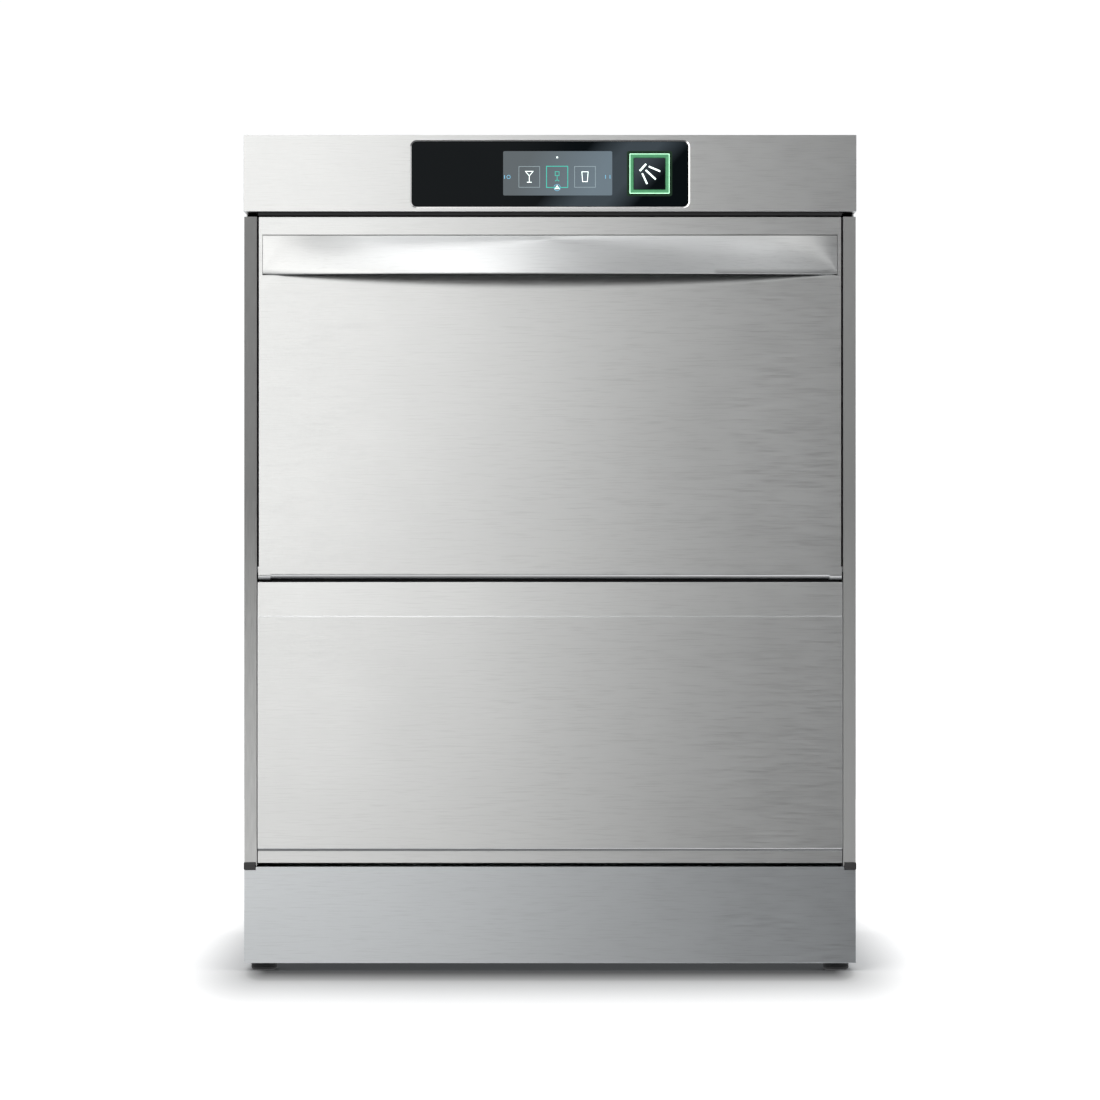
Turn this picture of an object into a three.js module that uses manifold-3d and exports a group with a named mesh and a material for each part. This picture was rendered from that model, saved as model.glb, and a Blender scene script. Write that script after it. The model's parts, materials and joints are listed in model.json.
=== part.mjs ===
// Undercounter glass washer, modelled as an assembly of separate pieces.
// Millimetres, +Z up, the front faces -Y, +X is to the right of someone who stands in front of it.
// The origin is on the floor, below the middle of the machine.
import * as THREE from 'three';
import { mergeVertices } from 'three/addons/utils/BufferGeometryUtils.js';
import Module from 'manifold-3d';

const wasm = await Module();
wasm.setup();

// ---------------------------------------------------------------- driving dimensions

const DEPTH = 603; // handle apex to rear panel
const HEIGHT = 820;
const WIDTH = 600; // over the side panels
const FASCIA_WIDTH = 601;
const GAP = 0.3; // left between pieces that touch
const SHEET = 1.2; // outer skins
const WALL = 1.5; // chamber, tank and folded panels

const BACK_Y = DEPTH / 2;
const HANDLE_REACH = 20; // how far the handle's bow stands in front of the door
const FACE_Y = -BACK_Y + HANDLE_REACH; // front face of the door and of the lower panel
const FASCIA_Y = FACE_Y - 2.5;
const POST_Y = FACE_Y + 1.5; // front edges of the side panels
const POST_WIDTH = 12.3;
const POST_INNER_X = WIDTH / 2 - POST_WIDTH;

const TRAY_Z = [7.9, 102.3];
const LIP_Z = [105.8, 116]; // set-back bottom lip of the lower front panel
const LOWER_PANEL_Z = [120, 381.8];
const CREASE_Z = 347.4;
const DOOR_Z = [385, 739.5];
const EAR_Z = [383.8, 396.8]; // hinge ears at the door's lower corners
const HANDLE_Z = [682.6, 722.3];
const SIDE_TOP_Z = 740;
const FASCIA_Z = [745, HEIGHT];

const DOOR_HALF = 285.5;
const EAR_HALF = 286.2;
const LOWER_PANEL_HALF = 287;
const HANDLE_HALF = 281.7;
const HINGE = { y: FACE_Y + 9, z: 394 }; // the door turns about this line
const DOOR_BACK_Y = HINGE.y + 23; // inner face of the door

const CHAMBER = { halfX: 262, front: -242, back: 262, floor: 352, ceiling: 772 };
const OPENING = { halfX: 258, bottom: 417, top: 726 };
const TANK = { halfX: 188, halfY: 163, bottom: 255, top: 350.1 };
const RACK_Z = 420; // top of the rails that carry the 500 x 500 rack

const GLASS = { halfX: 135.5, z: [749.8, 813.3], proud: 0.4, thick: 4 };
const SCREEN = { x: [-45.9, 61], z: [760.6, 804] };
const BUTTON = { x: 97.6, z: 782, outer: 40.2, inner: 31.2, cap: 30.5 };

const FOOT = { x: 281.5, front: -258, back: 250, radius: 12.75, stem: 5, top: 52 };
const FILTER = { x: 105, y: -95, radius: 44 };
const WASH_PUMP = { x: -95, y: 70 };
const PUMP_OUTLET_X = WASH_PUMP.x + 36;
const DRAIN = { x: 70, y: 110 };
const BOILER = { x: 205, z: 150, radius: 68, halfLength: 128 };
const RECESS = { y: 262, z: 300 }; // pocket at the lower back for the service connections
const RISER_Y = 281;
const SERVICE = { gland: [-180, 200], water: [190, 215], drain: [110, 150] }; // [x, z] on the rear panel

// ---------------------------------------------------------------- solids

// Closed geometry to a manifold solid, with its faces turned outward.
function solid(geometry) {
  const bare = geometry.clone();
  bare.deleteAttribute('normal');
  bare.deleteAttribute('uv');
  const merged = mergeVertices(bare, 1e-4);
  const triangles = [];
  for (let i = 0; i < merged.index.count; i += 3) {
    const [a, b, c] = [0, 1, 2].map((k) => merged.index.getX(i + k));
    if (a !== b && b !== c && c !== a) triangles.push(a, b, c);
  }
  const build = (list) => new wasm.Manifold(new wasm.Mesh({
    numProp: 3,
    vertProperties: new Float32Array(merged.attributes.position.array),
    triVerts: new Uint32Array(list),
  }));
  const made = build(triangles);
  return made.volume() < 0 ? build(triangles.reverse()) : made;
}

function join(...solids) {
  return solids.reduce((a, b) => a.add(b));
}

function cut(body, ...tools) {
  return tools.reduce((a, b) => a.subtract(b), body);
}

function block([x0, x1], [y0, y1], [z0, z1]) {
  const box = new THREE.BoxGeometry(x1 - x0, y1 - y0, z1 - z0);
  return solid(box.translate((x0 + x1) / 2, (y0 + y1) / 2, (z0 + z1) / 2));
}

// Turns a geometry made along +Z so that it runs along the named axis.
// On x its plane is (y, z); on y its plane is (x, z).
function alongAxis(geometry, axis) {
  if (axis === 'x') return geometry.rotateX(Math.PI / 2).rotateZ(Math.PI / 2);
  if (axis === 'y') return geometry.rotateX(Math.PI / 2);
  return geometry;
}

// Extrudes an outline between two places on an axis.
function prism(outline, axis, [from, to]) {
  const drawn = outline instanceof THREE.Shape;
  const shape = drawn ? outline : new THREE.Shape(outline.map((p) => new THREE.Vector2(...p)));
  const geometry = new THREE.ExtrudeGeometry(shape, {
    depth: to - from, bevelEnabled: false, curveSegments: 3,
  });
  geometry.translate(0, 0, axis === 'y' ? -to : from);
  return solid(alongAxis(geometry, axis));
}

function roundedRectangle([u0, u1], [v0, v1], radius) {
  const shape = new THREE.Shape();
  const quarter = Math.PI / 2;
  shape.absarc(u1 - radius, v1 - radius, radius, 0, quarter);
  shape.absarc(u0 + radius, v1 - radius, radius, quarter, 2 * quarter);
  shape.absarc(u0 + radius, v0 + radius, radius, 2 * quarter, 3 * quarter);
  shape.absarc(u1 - radius, v0 + radius, radius, 3 * quarter, 4 * quarter);
  shape.closePath();
  return shape;
}

// A round bar. centre holds the two other coordinates, in X, Y, Z order.
function rod(axis, radius, [from, to], centre = [0, 0], sides = 20) {
  const geometry = new THREE.CylinderGeometry(radius, radius, to - from, sides);
  geometry.rotateX(Math.PI / 2).translate(0, 0, (from + to) / 2);
  if (axis === 'x') geometry.rotateY(Math.PI / 2).translate(0, ...centre);
  else if (axis === 'y') geometry.rotateX(-Math.PI / 2).translate(centre[0], 0, centre[1]);
  else geometry.translate(...centre, 0);
  return solid(geometry);
}

// A turned piece from [radius, height] points, about Z.
function turned(profile, sides = 24) {
  const points = profile.map((p) => new THREE.Vector2(...p));
  return solid(new THREE.LatheGeometry(points, sides).rotateX(Math.PI / 2));
}

// A route of straight runs with rounded corners. Sections lie only at the ends and round corners.
class Route extends THREE.Curve {
  constructor(points, bend) {
    super();
    const corners = points.map((p) => new THREE.Vector3(...p));
    this.stations = [corners[0]];
    for (let i = 1; i < corners.length - 1; i += 1) {
      const corner = corners[i];
      const before = corner.clone().add(corners[i - 1].clone().sub(corner).setLength(bend));
      const after = corner.clone().add(corners[i + 1].clone().sub(corner).setLength(bend));
      this.stations.push(...new THREE.QuadraticBezierCurve3(before, corner, after).getPoints(4));
    }
    this.stations.push(corners[corners.length - 1]);
  }

  get steps() {
    return this.stations.length - 1;
  }

  getPointAt(u) {
    return this.stations[Math.round(u * this.steps)].clone();
  }

  getTangentAt(u) {
    const i = Math.round(u * this.steps);
    const before = this.stations[Math.max(i - 1, 0)];
    const after = this.stations[Math.min(i + 1, this.steps)];
    return after.clone().sub(before).normalize();
  }
}

function tube(path, radius, sides = 10) {
  const circle = new THREE.Shape().absarc(0, 0, radius, 0, 2 * Math.PI);
  return solid(new THREE.ExtrudeGeometry(circle, {
    extrudePath: path, steps: path.steps, curveSegments: sides / 2, bevelEnabled: false,
  }));
}

function mirrored(body) {
  return body.mirror([1, 0, 0]);
}

// ---------------------------------------------------------------- materials

function finish(color, roughness, metalness) {
  return new THREE.MeshStandardMaterial({ color, roughness, metalness });
}

const looks = {
  brushedSteel: () => finish(0xc6c8c8, 0.34, 1),
  pressedSteel: () => finish(0xb9bbbb, 0.42, 1),
  darkSteel: () => finish(0x74777a, 0.45, 1),
  blackGlass: () => finish(0x0b0f12, 0.06, 0),
  screen: () => finish(0x46565d, 0.2, 0),
  greenLight: () => finish(0x39d06c, 0.35, 0),
  blackPlastic: () => finish(0x1b1c1d, 0.5, 0),
  greyPlastic: () => finish(0x8d9296, 0.5, 0),
  whitePlastic: () => finish(0xd9dad6, 0.45, 0),
  bluePlastic: () => finish(0x2f6f9f, 0.45, 0),
  rubber: () => finish(0x17181a, 0.8, 0),
  circuit: () => finish(0x1f5b38, 0.5, 0),
  paintedGrey: () => finish(0x4b5055, 0.5, 0.4),
  brass: () => finish(0xb99a55, 0.35, 1),
};

const machine = new THREE.Group();

// Adds a solid to a group as a named mesh.
function add(name, body, look, parent = machine, position = [0, 0, 0], turn = 0) {
  const { vertProperties, triVerts } = body.getMesh();
  const geometry = new THREE.BufferGeometry();
  geometry.setAttribute('position', new THREE.BufferAttribute(vertProperties, 3));
  geometry.setIndex(new THREE.BufferAttribute(triVerts, 1));
  geometry.computeVertexNormals();
  const mesh = new THREE.Mesh(geometry, looks[look]());
  mesh.name = name;
  mesh.position.set(...position);
  mesh.rotation.z = turn;
  parent.add(mesh);
}

function both(half) {
  return [-half, half];
}

// ---------------------------------------------------------------- cabinet

const footPlaces = {
  foot_front_left: [-FOOT.x, FOOT.front],
  foot_front_right: [FOOT.x, FOOT.front],
  foot_back_left: [-FOOT.x, FOOT.back],
  foot_back_right: [FOOT.x, FOOT.back],
};

// Notch for a plastic clip at a front corner of the tray or of a side panel.
const CLIP = { x: [289, 300.5], y: [FACE_Y - 1.5, -268], z: [99.4, 106.3] };
function clipNotch() {
  const wider = ([low, high]) => [low - GAP, high + GAP];
  return block([CLIP.x[0] - GAP, WIDTH], wider(CLIP.y), wider(CLIP.z));
}

function baseTray() {
  const half = WIDTH / 2;
  const front = FACE_Y - 0.5;
  const back = RECESS.y;
  const [low, high] = TRAY_Z;
  const flange = 11;
  const hollow = block(both(half - SHEET), [front + SHEET, back - SHEET], [low + SHEET, high - SHEET]);
  const mouth = block(both(half - flange), [front + flange, back - flange], [high - 5, high + 5]);
  let tray = cut(block(both(half), [front, back], TRAY_Z), hollow, mouth);
  for (const [x, y] of Object.values(footPlaces)) {
    tray = join(tray, rod('z', 9, [low + SHEET / 2, low + 14], [x, y], 6));
    tray = cut(tray, rod('z', FOOT.stem + 0.4, [low - 1, low + 20], [x, y], 16));
  }
  return cut(tray, clipNotch(), mirrored(clipNotch()));
}

function sidePanel() {
  const out = WIDTH / 2;
  const rearFlangeY = BACK_Y - 2.5;
  const plan = [
    [POST_INNER_X, POST_Y + 16],
    [POST_INNER_X, POST_Y],
    [out, POST_Y],
    [out, rearFlangeY],
    [out - 15, rearFlangeY],
    [out - 15, rearFlangeY - SHEET],
    [out - SHEET, rearFlangeY - SHEET],
    [out - SHEET, POST_Y + SHEET],
    [POST_INNER_X + SHEET, POST_Y + SHEET],
    [POST_INNER_X + SHEET, POST_Y + 16],
  ];
  const roomY = [POST_Y - 5, FASCIA_Y + 38];
  const fasciaRoom = block([POST_INNER_X - 5, out + 5], roomY, [SIDE_TOP_Z, HEIGHT]);
  const pinHole = rod('x', 4.4, [POST_INNER_X - 5, out - 5], [HINGE.y, HINGE.z]);
  const shelfSlot = block(
    [out - 20, out - SHEET],
    [rearFlangeY - 5, rearFlangeY + 5],
    [RECESS.z - GAP, RECESS.z + WALL + GAP],
  );
  const body = prism(plan, 'z', [TRAY_Z[1] + 0.5, HEIGHT - SHEET - 0.4]);
  return cut(body, fasciaRoom, pinHole, clipNotch(), shelfSlot);
}

function rearPanel() {
  const outer = BACK_Y;
  const top = HEIGHT - SHEET - 0.4;
  const low = TRAY_Z[1] + 0.5;
  const profile = [
    [outer, top],
    [outer - WALL, top],
    [outer - WALL, RECESS.z + WALL],
    [RECESS.y - WALL, RECESS.z + WALL],
    [RECESS.y - WALL, low],
    [RECESS.y, low],
    [RECESS.y, RECESS.z],
    [outer, RECESS.z],
  ];
  const opening = ([x, z], radius) => rod('y', radius, [RECESS.y - 10, RECESS.y + 10], [x, z]);
  return cut(
    prism(profile, 'x', both(WIDTH / 2 - SHEET - 0.4)),
    opening(SERVICE.gland, 10.4),
    opening(SERVICE.water, 13.4),
    opening(SERVICE.drain, 12.4),
  );
}

function topPanel() {
  const front = FASCIA_Y + 36.5;
  const rim = WIDTH / 2 - SHEET - 0.4;
  const rimBack = BACK_Y - WALL - 0.8 - 2.4;
  const skin = block(both(WIDTH / 2), [front, BACK_Y], [HEIGHT - SHEET, HEIGHT]);
  const rimOuter = block(both(rim), [front, rimBack], [HEIGHT - 14, HEIGHT - SHEET / 2]);
  const rimInner = block(
    both(rim - SHEET),
    [front + SHEET, rimBack - SHEET],
    [HEIGHT - 15, HEIGHT - SHEET],
  );
  return join(skin, cut(rimOuter, rimInner));
}

function fascia() {
  const half = FASCIA_WIDTH / 2;
  const back = FASCIA_Y + 36;
  const hollowZ = [FASCIA_Z[0] + WALL, HEIGHT - WALL];
  const hollow = block(both(half - WALL), [FASCIA_Y + WALL, back + 1], hollowZ);
  const margin = 0.4;
  const window = roundedRectangle(
    both(GLASS.halfX + margin),
    [GLASS.z[0] - margin, GLASS.z[1] + margin],
    5.4,
  );
  return cut(
    block(both(half), [FASCIA_Y, back], FASCIA_Z),
    hollow,
    prism(window, 'y', [FASCIA_Y - 5, FASCIA_Y + 5]),
  );
}

// Folded sheet: a leaning top strip, the flat face, then a bottom lip that is set back.
function lowerFrontPanel() {
  const lipY = FACE_Y + 3;
  const profile = [
    [FACE_Y + 1.5, LOWER_PANEL_Z[1]],
    [FACE_Y, CREASE_Z],
    [FACE_Y, LOWER_PANEL_Z[0]],
    [lipY, LIP_Z[1] + 2],
    [lipY, LIP_Z[0]],
    [lipY + WALL, LIP_Z[0]],
    [lipY + WALL, LIP_Z[1] + 3],
    [FACE_Y + WALL, LOWER_PANEL_Z[0] + 1.3],
    [FACE_Y + WALL, CREASE_Z],
    [FACE_Y + 1.5 + WALL, LOWER_PANEL_Z[1] - 2],
    [FACE_Y + 14.5, LOWER_PANEL_Z[1] - 7],
    [FACE_Y + 14.5, LOWER_PANEL_Z[1] - 5.4],
  ];
  const flangeX = [LOWER_PANEL_HALF - WALL, LOWER_PANEL_HALF];
  const flange = block(flangeX, [FACE_Y + 0.6, FACE_Y + 17], [LOWER_PANEL_Z[0] + 2, CREASE_Z]);
  return join(prism(profile, 'x', both(LOWER_PANEL_HALF)), flange, mirrored(flange));
}

function cornerClip() {
  const shape = roundedRectangle(CLIP.y, CLIP.z, 1.2);
  return prism(shape, 'x', CLIP.x);
}

function foot() {
  return turned([
    [0, 0],
    [FOOT.radius - 2.2, 0],
    [FOOT.radius, 2.2],
    [FOOT.radius, TRAY_Z[0] - GAP],
    [FOOT.stem, TRAY_Z[0] - GAP],
    [FOOT.stem, FOOT.top],
    [0, FOOT.top],
  ], 20);
}

function buildCabinet() {
  add('base_tray', baseTray(), 'brushedSteel');
  add('side_panel_right', sidePanel(), 'brushedSteel');
  add('side_panel_left', mirrored(sidePanel()), 'brushedSteel');
  add('rear_panel', rearPanel(), 'pressedSteel');
  add('top_panel', topPanel(), 'brushedSteel');
  add('fascia', fascia(), 'brushedSteel');
  add('lower_front_panel', lowerFrontPanel(), 'brushedSteel');
  add('corner_clip_right', cornerClip(), 'blackPlastic');
  add('corner_clip_left', mirrored(cornerClip()), 'blackPlastic');
  for (const [name, [x, y]] of Object.entries(footPlaces)) {
    add(name, foot(), 'rubber', machine, [x, y, 0]);
  }
}

// ---------------------------------------------------------------- display and start button

function squareAround(size) {
  const half = size / 2;
  return [[BUTTON.x - half, BUTTON.x + half], [BUTTON.z - half, BUTTON.z + half]];
}

function buildDisplay() {
  const glassY = [FASCIA_Y - GLASS.proud, FASCIA_Y - GLASS.proud + GLASS.thick];
  const through = [FASCIA_Y - 20, FASCIA_Y + 40];
  const glass = prism(roundedRectangle(both(GLASS.halfX), GLASS.z, 5), 'y', glassY);
  const buttonHole = prism(roundedRectangle(...squareAround(BUTTON.outer + 0.6), 2.3), 'y', through);
  add('display_glass', cut(glass, buttonHole), 'blackGlass');

  const screenY = [glassY[1] + GAP, glassY[1] + GAP + 4];
  add('touch_screen', block(SCREEN.x, screenY, SCREEN.z), 'screen');

  const ring = prism(roundedRectangle(...squareAround(BUTTON.outer), 2), 'y', [glassY[0], glassY[0] + 9]);
  const ringHole = prism(roundedRectangle(...squareAround(BUTTON.inner), 1.2), 'y', through);
  add('button_light_ring', cut(ring, ringHole), 'greenLight');
  const capY = [glassY[0] - 0.5, glassY[0] + 10];
  const cap = prism(roundedRectangle(...squareAround(BUTTON.cap), 1), 'y', capY);
  add('start_button', cap, 'blackPlastic');

  const housing = block(both(138), [glassY[1] + GAP, FASCIA_Y + 26], [748, 815]);
  const pocket = block(both(134), [glassY[1] - 1, FASCIA_Y + 24], [751, 812]);
  const plugHole = rod('y', 8, [FASCIA_Y + 20, FASCIA_Y + 30], [-100, 782]);
  add('display_housing', cut(housing, pocket, plugHole), 'blackPlastic');
  add('control_board', block([-126, 128], [FASCIA_Y + 17, FASCIA_Y + 18.6], [756, 807]), 'circuit');
}

// ---------------------------------------------------------------- door

// Outline of the door in side view, with a rounded lower front edge.
function doorSide(low, high, front, back, radius) {
  const shape = new THREE.Shape();
  shape.moveTo(back, high);
  shape.lineTo(front, high);
  shape.lineTo(front, low + radius);
  shape.absarc(front + radius, low + radius, radius, Math.PI, 1.5 * Math.PI);
  shape.lineTo(back, low);
  shape.closePath();
  return shape;
}

function doorOuterPanel() {
  const [low, high] = DOOR_Z;
  const back = DOOR_BACK_Y - 2.2;
  const outside = prism(doorSide(low, high, FACE_Y, back, 5), 'x', both(DOOR_HALF));
  const inside = prism(
    doorSide(low + SHEET, high - SHEET, FACE_Y + SHEET, back + 5, 4),
    'x',
    both(DOOR_HALF - SHEET),
  );
  const ear = prism(doorSide(...EAR_Z, FACE_Y - 0.2, FACE_Y + 19, 5), 'x', [EAR_HALF - 12, EAR_HALF]);
  const pinBore = rod('x', 4.4, [EAR_HALF - 20, EAR_HALF + 5], [HINGE.y, HINGE.z]);

  // The hand reaches up behind the handle into this pocket.
  const [handleLow, handleHigh] = HANDLE_Z;
  const pocketBack = FACE_Y + 18;
  const liner = block(
    both(HANDLE_HALF + 0.4 + SHEET),
    [FACE_Y + SHEET / 2, pocketBack + SHEET],
    [handleLow - SHEET, handleHigh + SHEET],
  );
  const pocket = block(both(HANDLE_HALF + 0.4), [FACE_Y - 5, pocketBack], [handleLow, handleHigh]);
  const shell = join(cut(outside, inside), ear, mirrored(ear), liner);
  return cut(shell, pocket, pinBore, mirrored(pinBore));
}

function doorInnerPanel() {
  const plate = block(
    both(DOOR_HALF - 1.8),
    [DOOR_BACK_Y - 1.8, DOOR_BACK_Y],
    [DOOR_Z[0] + 2, DOOR_Z[1] - 2],
  );
  const rise = 2.5;
  const field = (inset, y) => prism(
    roundedRectangle(both(248 - inset), [424 + inset, 716 - inset], 12 - inset),
    'y',
    y,
  );
  return cut(
    join(plate, field(0, [DOOR_BACK_Y - 1, DOOR_BACK_Y + rise])),
    field(1.2, [DOOR_BACK_Y - 5, DOOR_BACK_Y + rise - 1.2]),
  );
}

// The grip band: straight along its top edge, bowed forward along its bottom edge.
function doorHandle() {
  const columns = 24;
  const thick = 1.8;
  const [low, high] = HANDLE_Z;
  const top = high - 0.8;
  const reach = (x) => HANDLE_REACH * (1 - (x / HANDLE_HALF) ** 2);
  const corners = (x) => [
    [x, FACE_Y, top],
    [x, FACE_Y - reach(x), low + 1.6],
    [x, FACE_Y - reach(x) + 0.6, low + 0.5],
    [x, FACE_Y - reach(x) + thick, low + 0.5],
    [x, FACE_Y - reach(x) + thick, low + 2.6],
    [x, FACE_Y + thick, top - thick],
    [x, FACE_Y + 15, top - thick],
    [x, FACE_Y + 15, top],
  ];
  const positions = [];
  const index = [];
  for (let i = 0; i <= columns; i += 1) {
    positions.push(...corners(HANDLE_HALF * (2 * i / columns - 1)).flat());
  }
  const ring = corners(0).length;
  for (let i = 0; i < columns; i += 1) {
    for (let k = 0; k < ring; k += 1) {
      const [a, b] = [i * ring + k, i * ring + (k + 1) % ring];
      index.push(a, b, b + ring, a, b + ring, a + ring);
    }
  }
  // Each end is capped by its own outline, split into triangles.
  const outline = corners(0).map(([, y, z]) => new THREE.Vector2(y, z));
  for (const [a, b, c] of THREE.ShapeUtils.triangulateShape(outline, [])) {
    const far = columns * ring;
    index.push(a, c, b, far + a, far + b, far + c);
  }
  const geometry = new THREE.BufferGeometry();
  geometry.setAttribute('position', new THREE.Float32BufferAttribute(positions, 3));
  geometry.setIndex(index);
  return solid(geometry);
}

function hingePin() {
  const shank = rod('x', 4, [230, 298], [HINGE.y, HINGE.z], 16);
  return join(shank, rod('x', 6.5, [226, 230.5], [HINGE.y, HINGE.z], 16));
}

function hingeBracket() {
  const body = block([POST_INNER_X + SHEET + GAP, 298.4], [POST_Y + SHEET + GAP, -262], [378, 410]);
  return cut(body, rod('x', 4.3, [280, 305], [HINGE.y, HINGE.z], 16));
}

function doorSpring() {
  const coil = rod('x', 7.2, [234, 268], [HINGE.y, HINGE.z], 16);
  return cut(coil, rod('x', 4.5, [230, 270], [HINGE.y, HINGE.z], 16));
}

function doorSeal() {
  const y = [DOOR_BACK_Y + GAP, CHAMBER.front - WALL - GAP];
  const outer = roundedRectangle(both(276), [403, 738], 14);
  const inner = roundedRectangle(both(264), [414, 728], 8);
  return cut(prism(outer, 'y', y), prism(inner, 'y', [y[0] - 5, y[1] + 5]));
}

function buildDoor() {
  add('door_outer_panel', doorOuterPanel(), 'brushedSteel');
  add('door_inner_panel', doorInnerPanel(), 'pressedSteel');
  add('door_handle', doorHandle(), 'brushedSteel');
  add('door_seal', doorSeal(), 'rubber');
  add('hinge_pin_right', hingePin(), 'darkSteel');
  add('hinge_pin_left', mirrored(hingePin()), 'darkSteel');
  add('hinge_bracket_right', hingeBracket(), 'darkSteel');
  add('hinge_bracket_left', mirrored(hingeBracket()), 'darkSteel');
  add('door_spring_right', doorSpring(), 'darkSteel');
  add('door_spring_left', mirrored(doorSpring()), 'darkSteel');
  const switchY = [FASCIA_Y + 8, FASCIA_Y + 22];
  add('door_switch', block([228, 262], switchY, [FASCIA_Z[0] + WALL + GAP, 758]), 'blackPlastic');
}

// ---------------------------------------------------------------- chamber, tank and filters

function washChamber() {
  const { halfX, front, back, floor, ceiling } = CHAMBER;
  const shell = cut(
    block(both(halfX + WALL), [front - WALL, back + WALL], [floor - WALL, ceiling + WALL]),
    block(both(halfX), [front - 10, back], [floor, ceiling]),
  );
  const apronBottom = 262;
  const doorway = roundedRectangle(both(OPENING.halfX), [OPENING.bottom, OPENING.top], 8);
  const frontPlate = cut(
    block(both(284), [front - WALL, front], [apronBottom, ceiling + WALL]),
    prism(doorway, 'y', [front - 10, front + 5]),
  );
  const mouth = roundedRectangle(both(TANK.halfX - 3), both(TANK.halfY - 3), 22);
  const tankMouth = prism(mouth, 'z', [floor - 5, floor + 5]);
  const dosingHoles = dosingPlaces.map((x) => rod('y', 17, [front - 5, front + 5], [x, DOSING_Z]));
  const ceilingHole = rod('z', 12, [ceiling - 5, ceiling + 5]);
  return cut(join(shell, frontPlate), tankMouth, ceilingHole, ...dosingHoles);
}

function washTank() {
  const { halfX, halfY, bottom, top } = TANK;
  const plan = (grow) => roundedRectangle(both(halfX + grow), both(halfY + grow), 25 + grow);
  const rim = prism(plan(17), 'z', [top - WALL, top]);
  const bowl = prism(plan(0), 'z', [bottom, top]);
  const hollow = prism(plan(-WALL), 'z', [bottom + WALL, top + 5]);
  const floorHole = (radius, x, y) => rod('z', radius, [bottom - 5, bottom + 5], [x, y]);
  const heaterHole = (x) => rod('y', 4.8, [halfY - 5, halfY + 5], [x, HEATER.z], 16);
  return cut(
    join(rim, bowl),
    hollow,
    floorHole(17, 0, 0),
    floorHole(18, WASH_PUMP.x, WASH_PUMP.y),
    floorHole(12, DRAIN.x, DRAIN.y),
    ...HEATER.x.map(heaterHole),
  );
}

const HEATER = { x: [-160, -118], z: 280, radius: 4.25 };
function tankHeater() {
  const [a, b] = HEATER.x;
  const outside = TANK.halfY + 12;
  const near = 20 - TANK.halfY;
  const corners = [[a, outside], [a, near], [b, near], [b, outside]];
  const loop = new Route(corners.map(([x, y]) => [x, y, HEATER.z]), 18);
  const flange = block(
    [a - 14, b + 14],
    [TANK.halfY + GAP, TANK.halfY + 4],
    [HEATER.z - 16, HEATER.z + 16],
  );
  return join(tube(loop, HEATER.radius, 8), flange);
}

function rackRail() {
  const wall = CHAMBER.halfX - GAP;
  const profile = [
    [238, RACK_Z - WALL],
    [wall, RACK_Z - WALL],
    [wall, RACK_Z + 26],
    [wall - WALL, RACK_Z + 26],
    [wall - WALL, RACK_Z],
    [238, RACK_Z],
  ];
  return prism(profile, 'y', [-232, 255]);
}

function tankStrainer() {
  const z = [CHAMBER.floor + 0.4, CHAMBER.floor + 1.9];
  return cut(
    prism(roundedRectangle(both(206), both(181), 26), 'z', z),
    rod('z', 18, [z[0] - 5, z[1] + 5]),
    rod('z', FILTER.radius + 1, [z[0] - 5, z[1] + 5], [FILTER.x, FILTER.y], 28),
  );
}

// Basket with a rim that rests on the strainer, and a bar to lift it by. Its own origin is on its axis.
function filterCylinder() {
  const r = FILTER.radius;
  const low = 266;
  const rimZ = CHAMBER.floor + 1.9 + GAP;
  const cup = turned([
    [0, low],
    [r, low],
    [r, rimZ],
    [r + 7, rimZ],
    [r + 7, rimZ + WALL],
    [r - WALL, rimZ + WALL],
    [r - WALL, low + WALL],
    [0, low + WALL],
  ], 28);
  const bar = prism(roundedRectangle(both(r), [rimZ + 1, rimZ + 9], 3), 'y', both(3));
  return join(cup, bar);
}

function buildChamber() {
  add('wash_chamber', washChamber(), 'pressedSteel');
  add('wash_tank', washTank(), 'pressedSteel');
  add('tank_heater', tankHeater(), 'darkSteel');
  add('rack_rail_right', rackRail(), 'pressedSteel');
  add('rack_rail_left', mirrored(rackRail()), 'pressedSteel');
  add('tank_strainer', tankStrainer(), 'pressedSteel');
  add('filter_cylinder', filterCylinder(), 'pressedSteel', machine, [FILTER.x, FILTER.y, 0]);
}

// ---------------------------------------------------------------- spray arms

const WASH_ARM = { half: 222, width: 44, thick: 17, bore: 14.4 };
const RINSE_ARM = { half: 212, width: 20, thick: 9, bore: 8.5 };
const LOWER = { wash: 370, rinse: 390, nut: 400 }; // undersides of the lower arms and nut
const UPPER = { wash: 750, rinse: 738, nut: 727.3 };
const NUT_THICK = 9.5;

// Plan outline of an arm that tapers to round tips.
function armOutline(half, width) {
  const tip = width * 0.3;
  const shape = new THREE.Shape();
  shape.moveTo(0, -width / 2);
  shape.lineTo(half - tip, -tip);
  shape.absarc(half - tip, 0, tip, -Math.PI / 2, Math.PI / 2);
  shape.lineTo(0, width / 2);
  shape.lineTo(tip - half, tip);
  shape.absarc(tip - half, 0, tip, Math.PI / 2, 1.5 * Math.PI);
  shape.closePath();
  return shape;
}

// Hollow wash arm with four slots on each side. Its origin is at the middle of its underside.
function washArm(jetsUp) {
  const { half, width, thick, bore } = WASH_ARM;
  const hub = rod('z', bore + 5.7, [0, thick], [0, 0], 28);
  const body = prism(armOutline(half, width), 'z', [0, thick]);
  const hollow = prism(armOutline(half - 3, width - 5), 'z', [1.6, thick - 1.6]);
  const slots = [];
  for (const side of [-1, 1]) {
    for (const place of [60, 105, 150, 192]) {
      const x = side * place;
      const z = jetsUp ? [thick - 5, thick + 5] : [-5, 5];
      slots.push(block([x - 1.5, x + 1.5], both(9), z));
    }
  }
  const port = rod('x', 4, both(bore + 12), [0, thick / 2], 10);
  const bearing = rod('z', bore, [-5, thick + 5], [0, 0], 28);
  return cut(join(cut(body, hollow), hub), bearing, port, ...slots);
}

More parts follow.
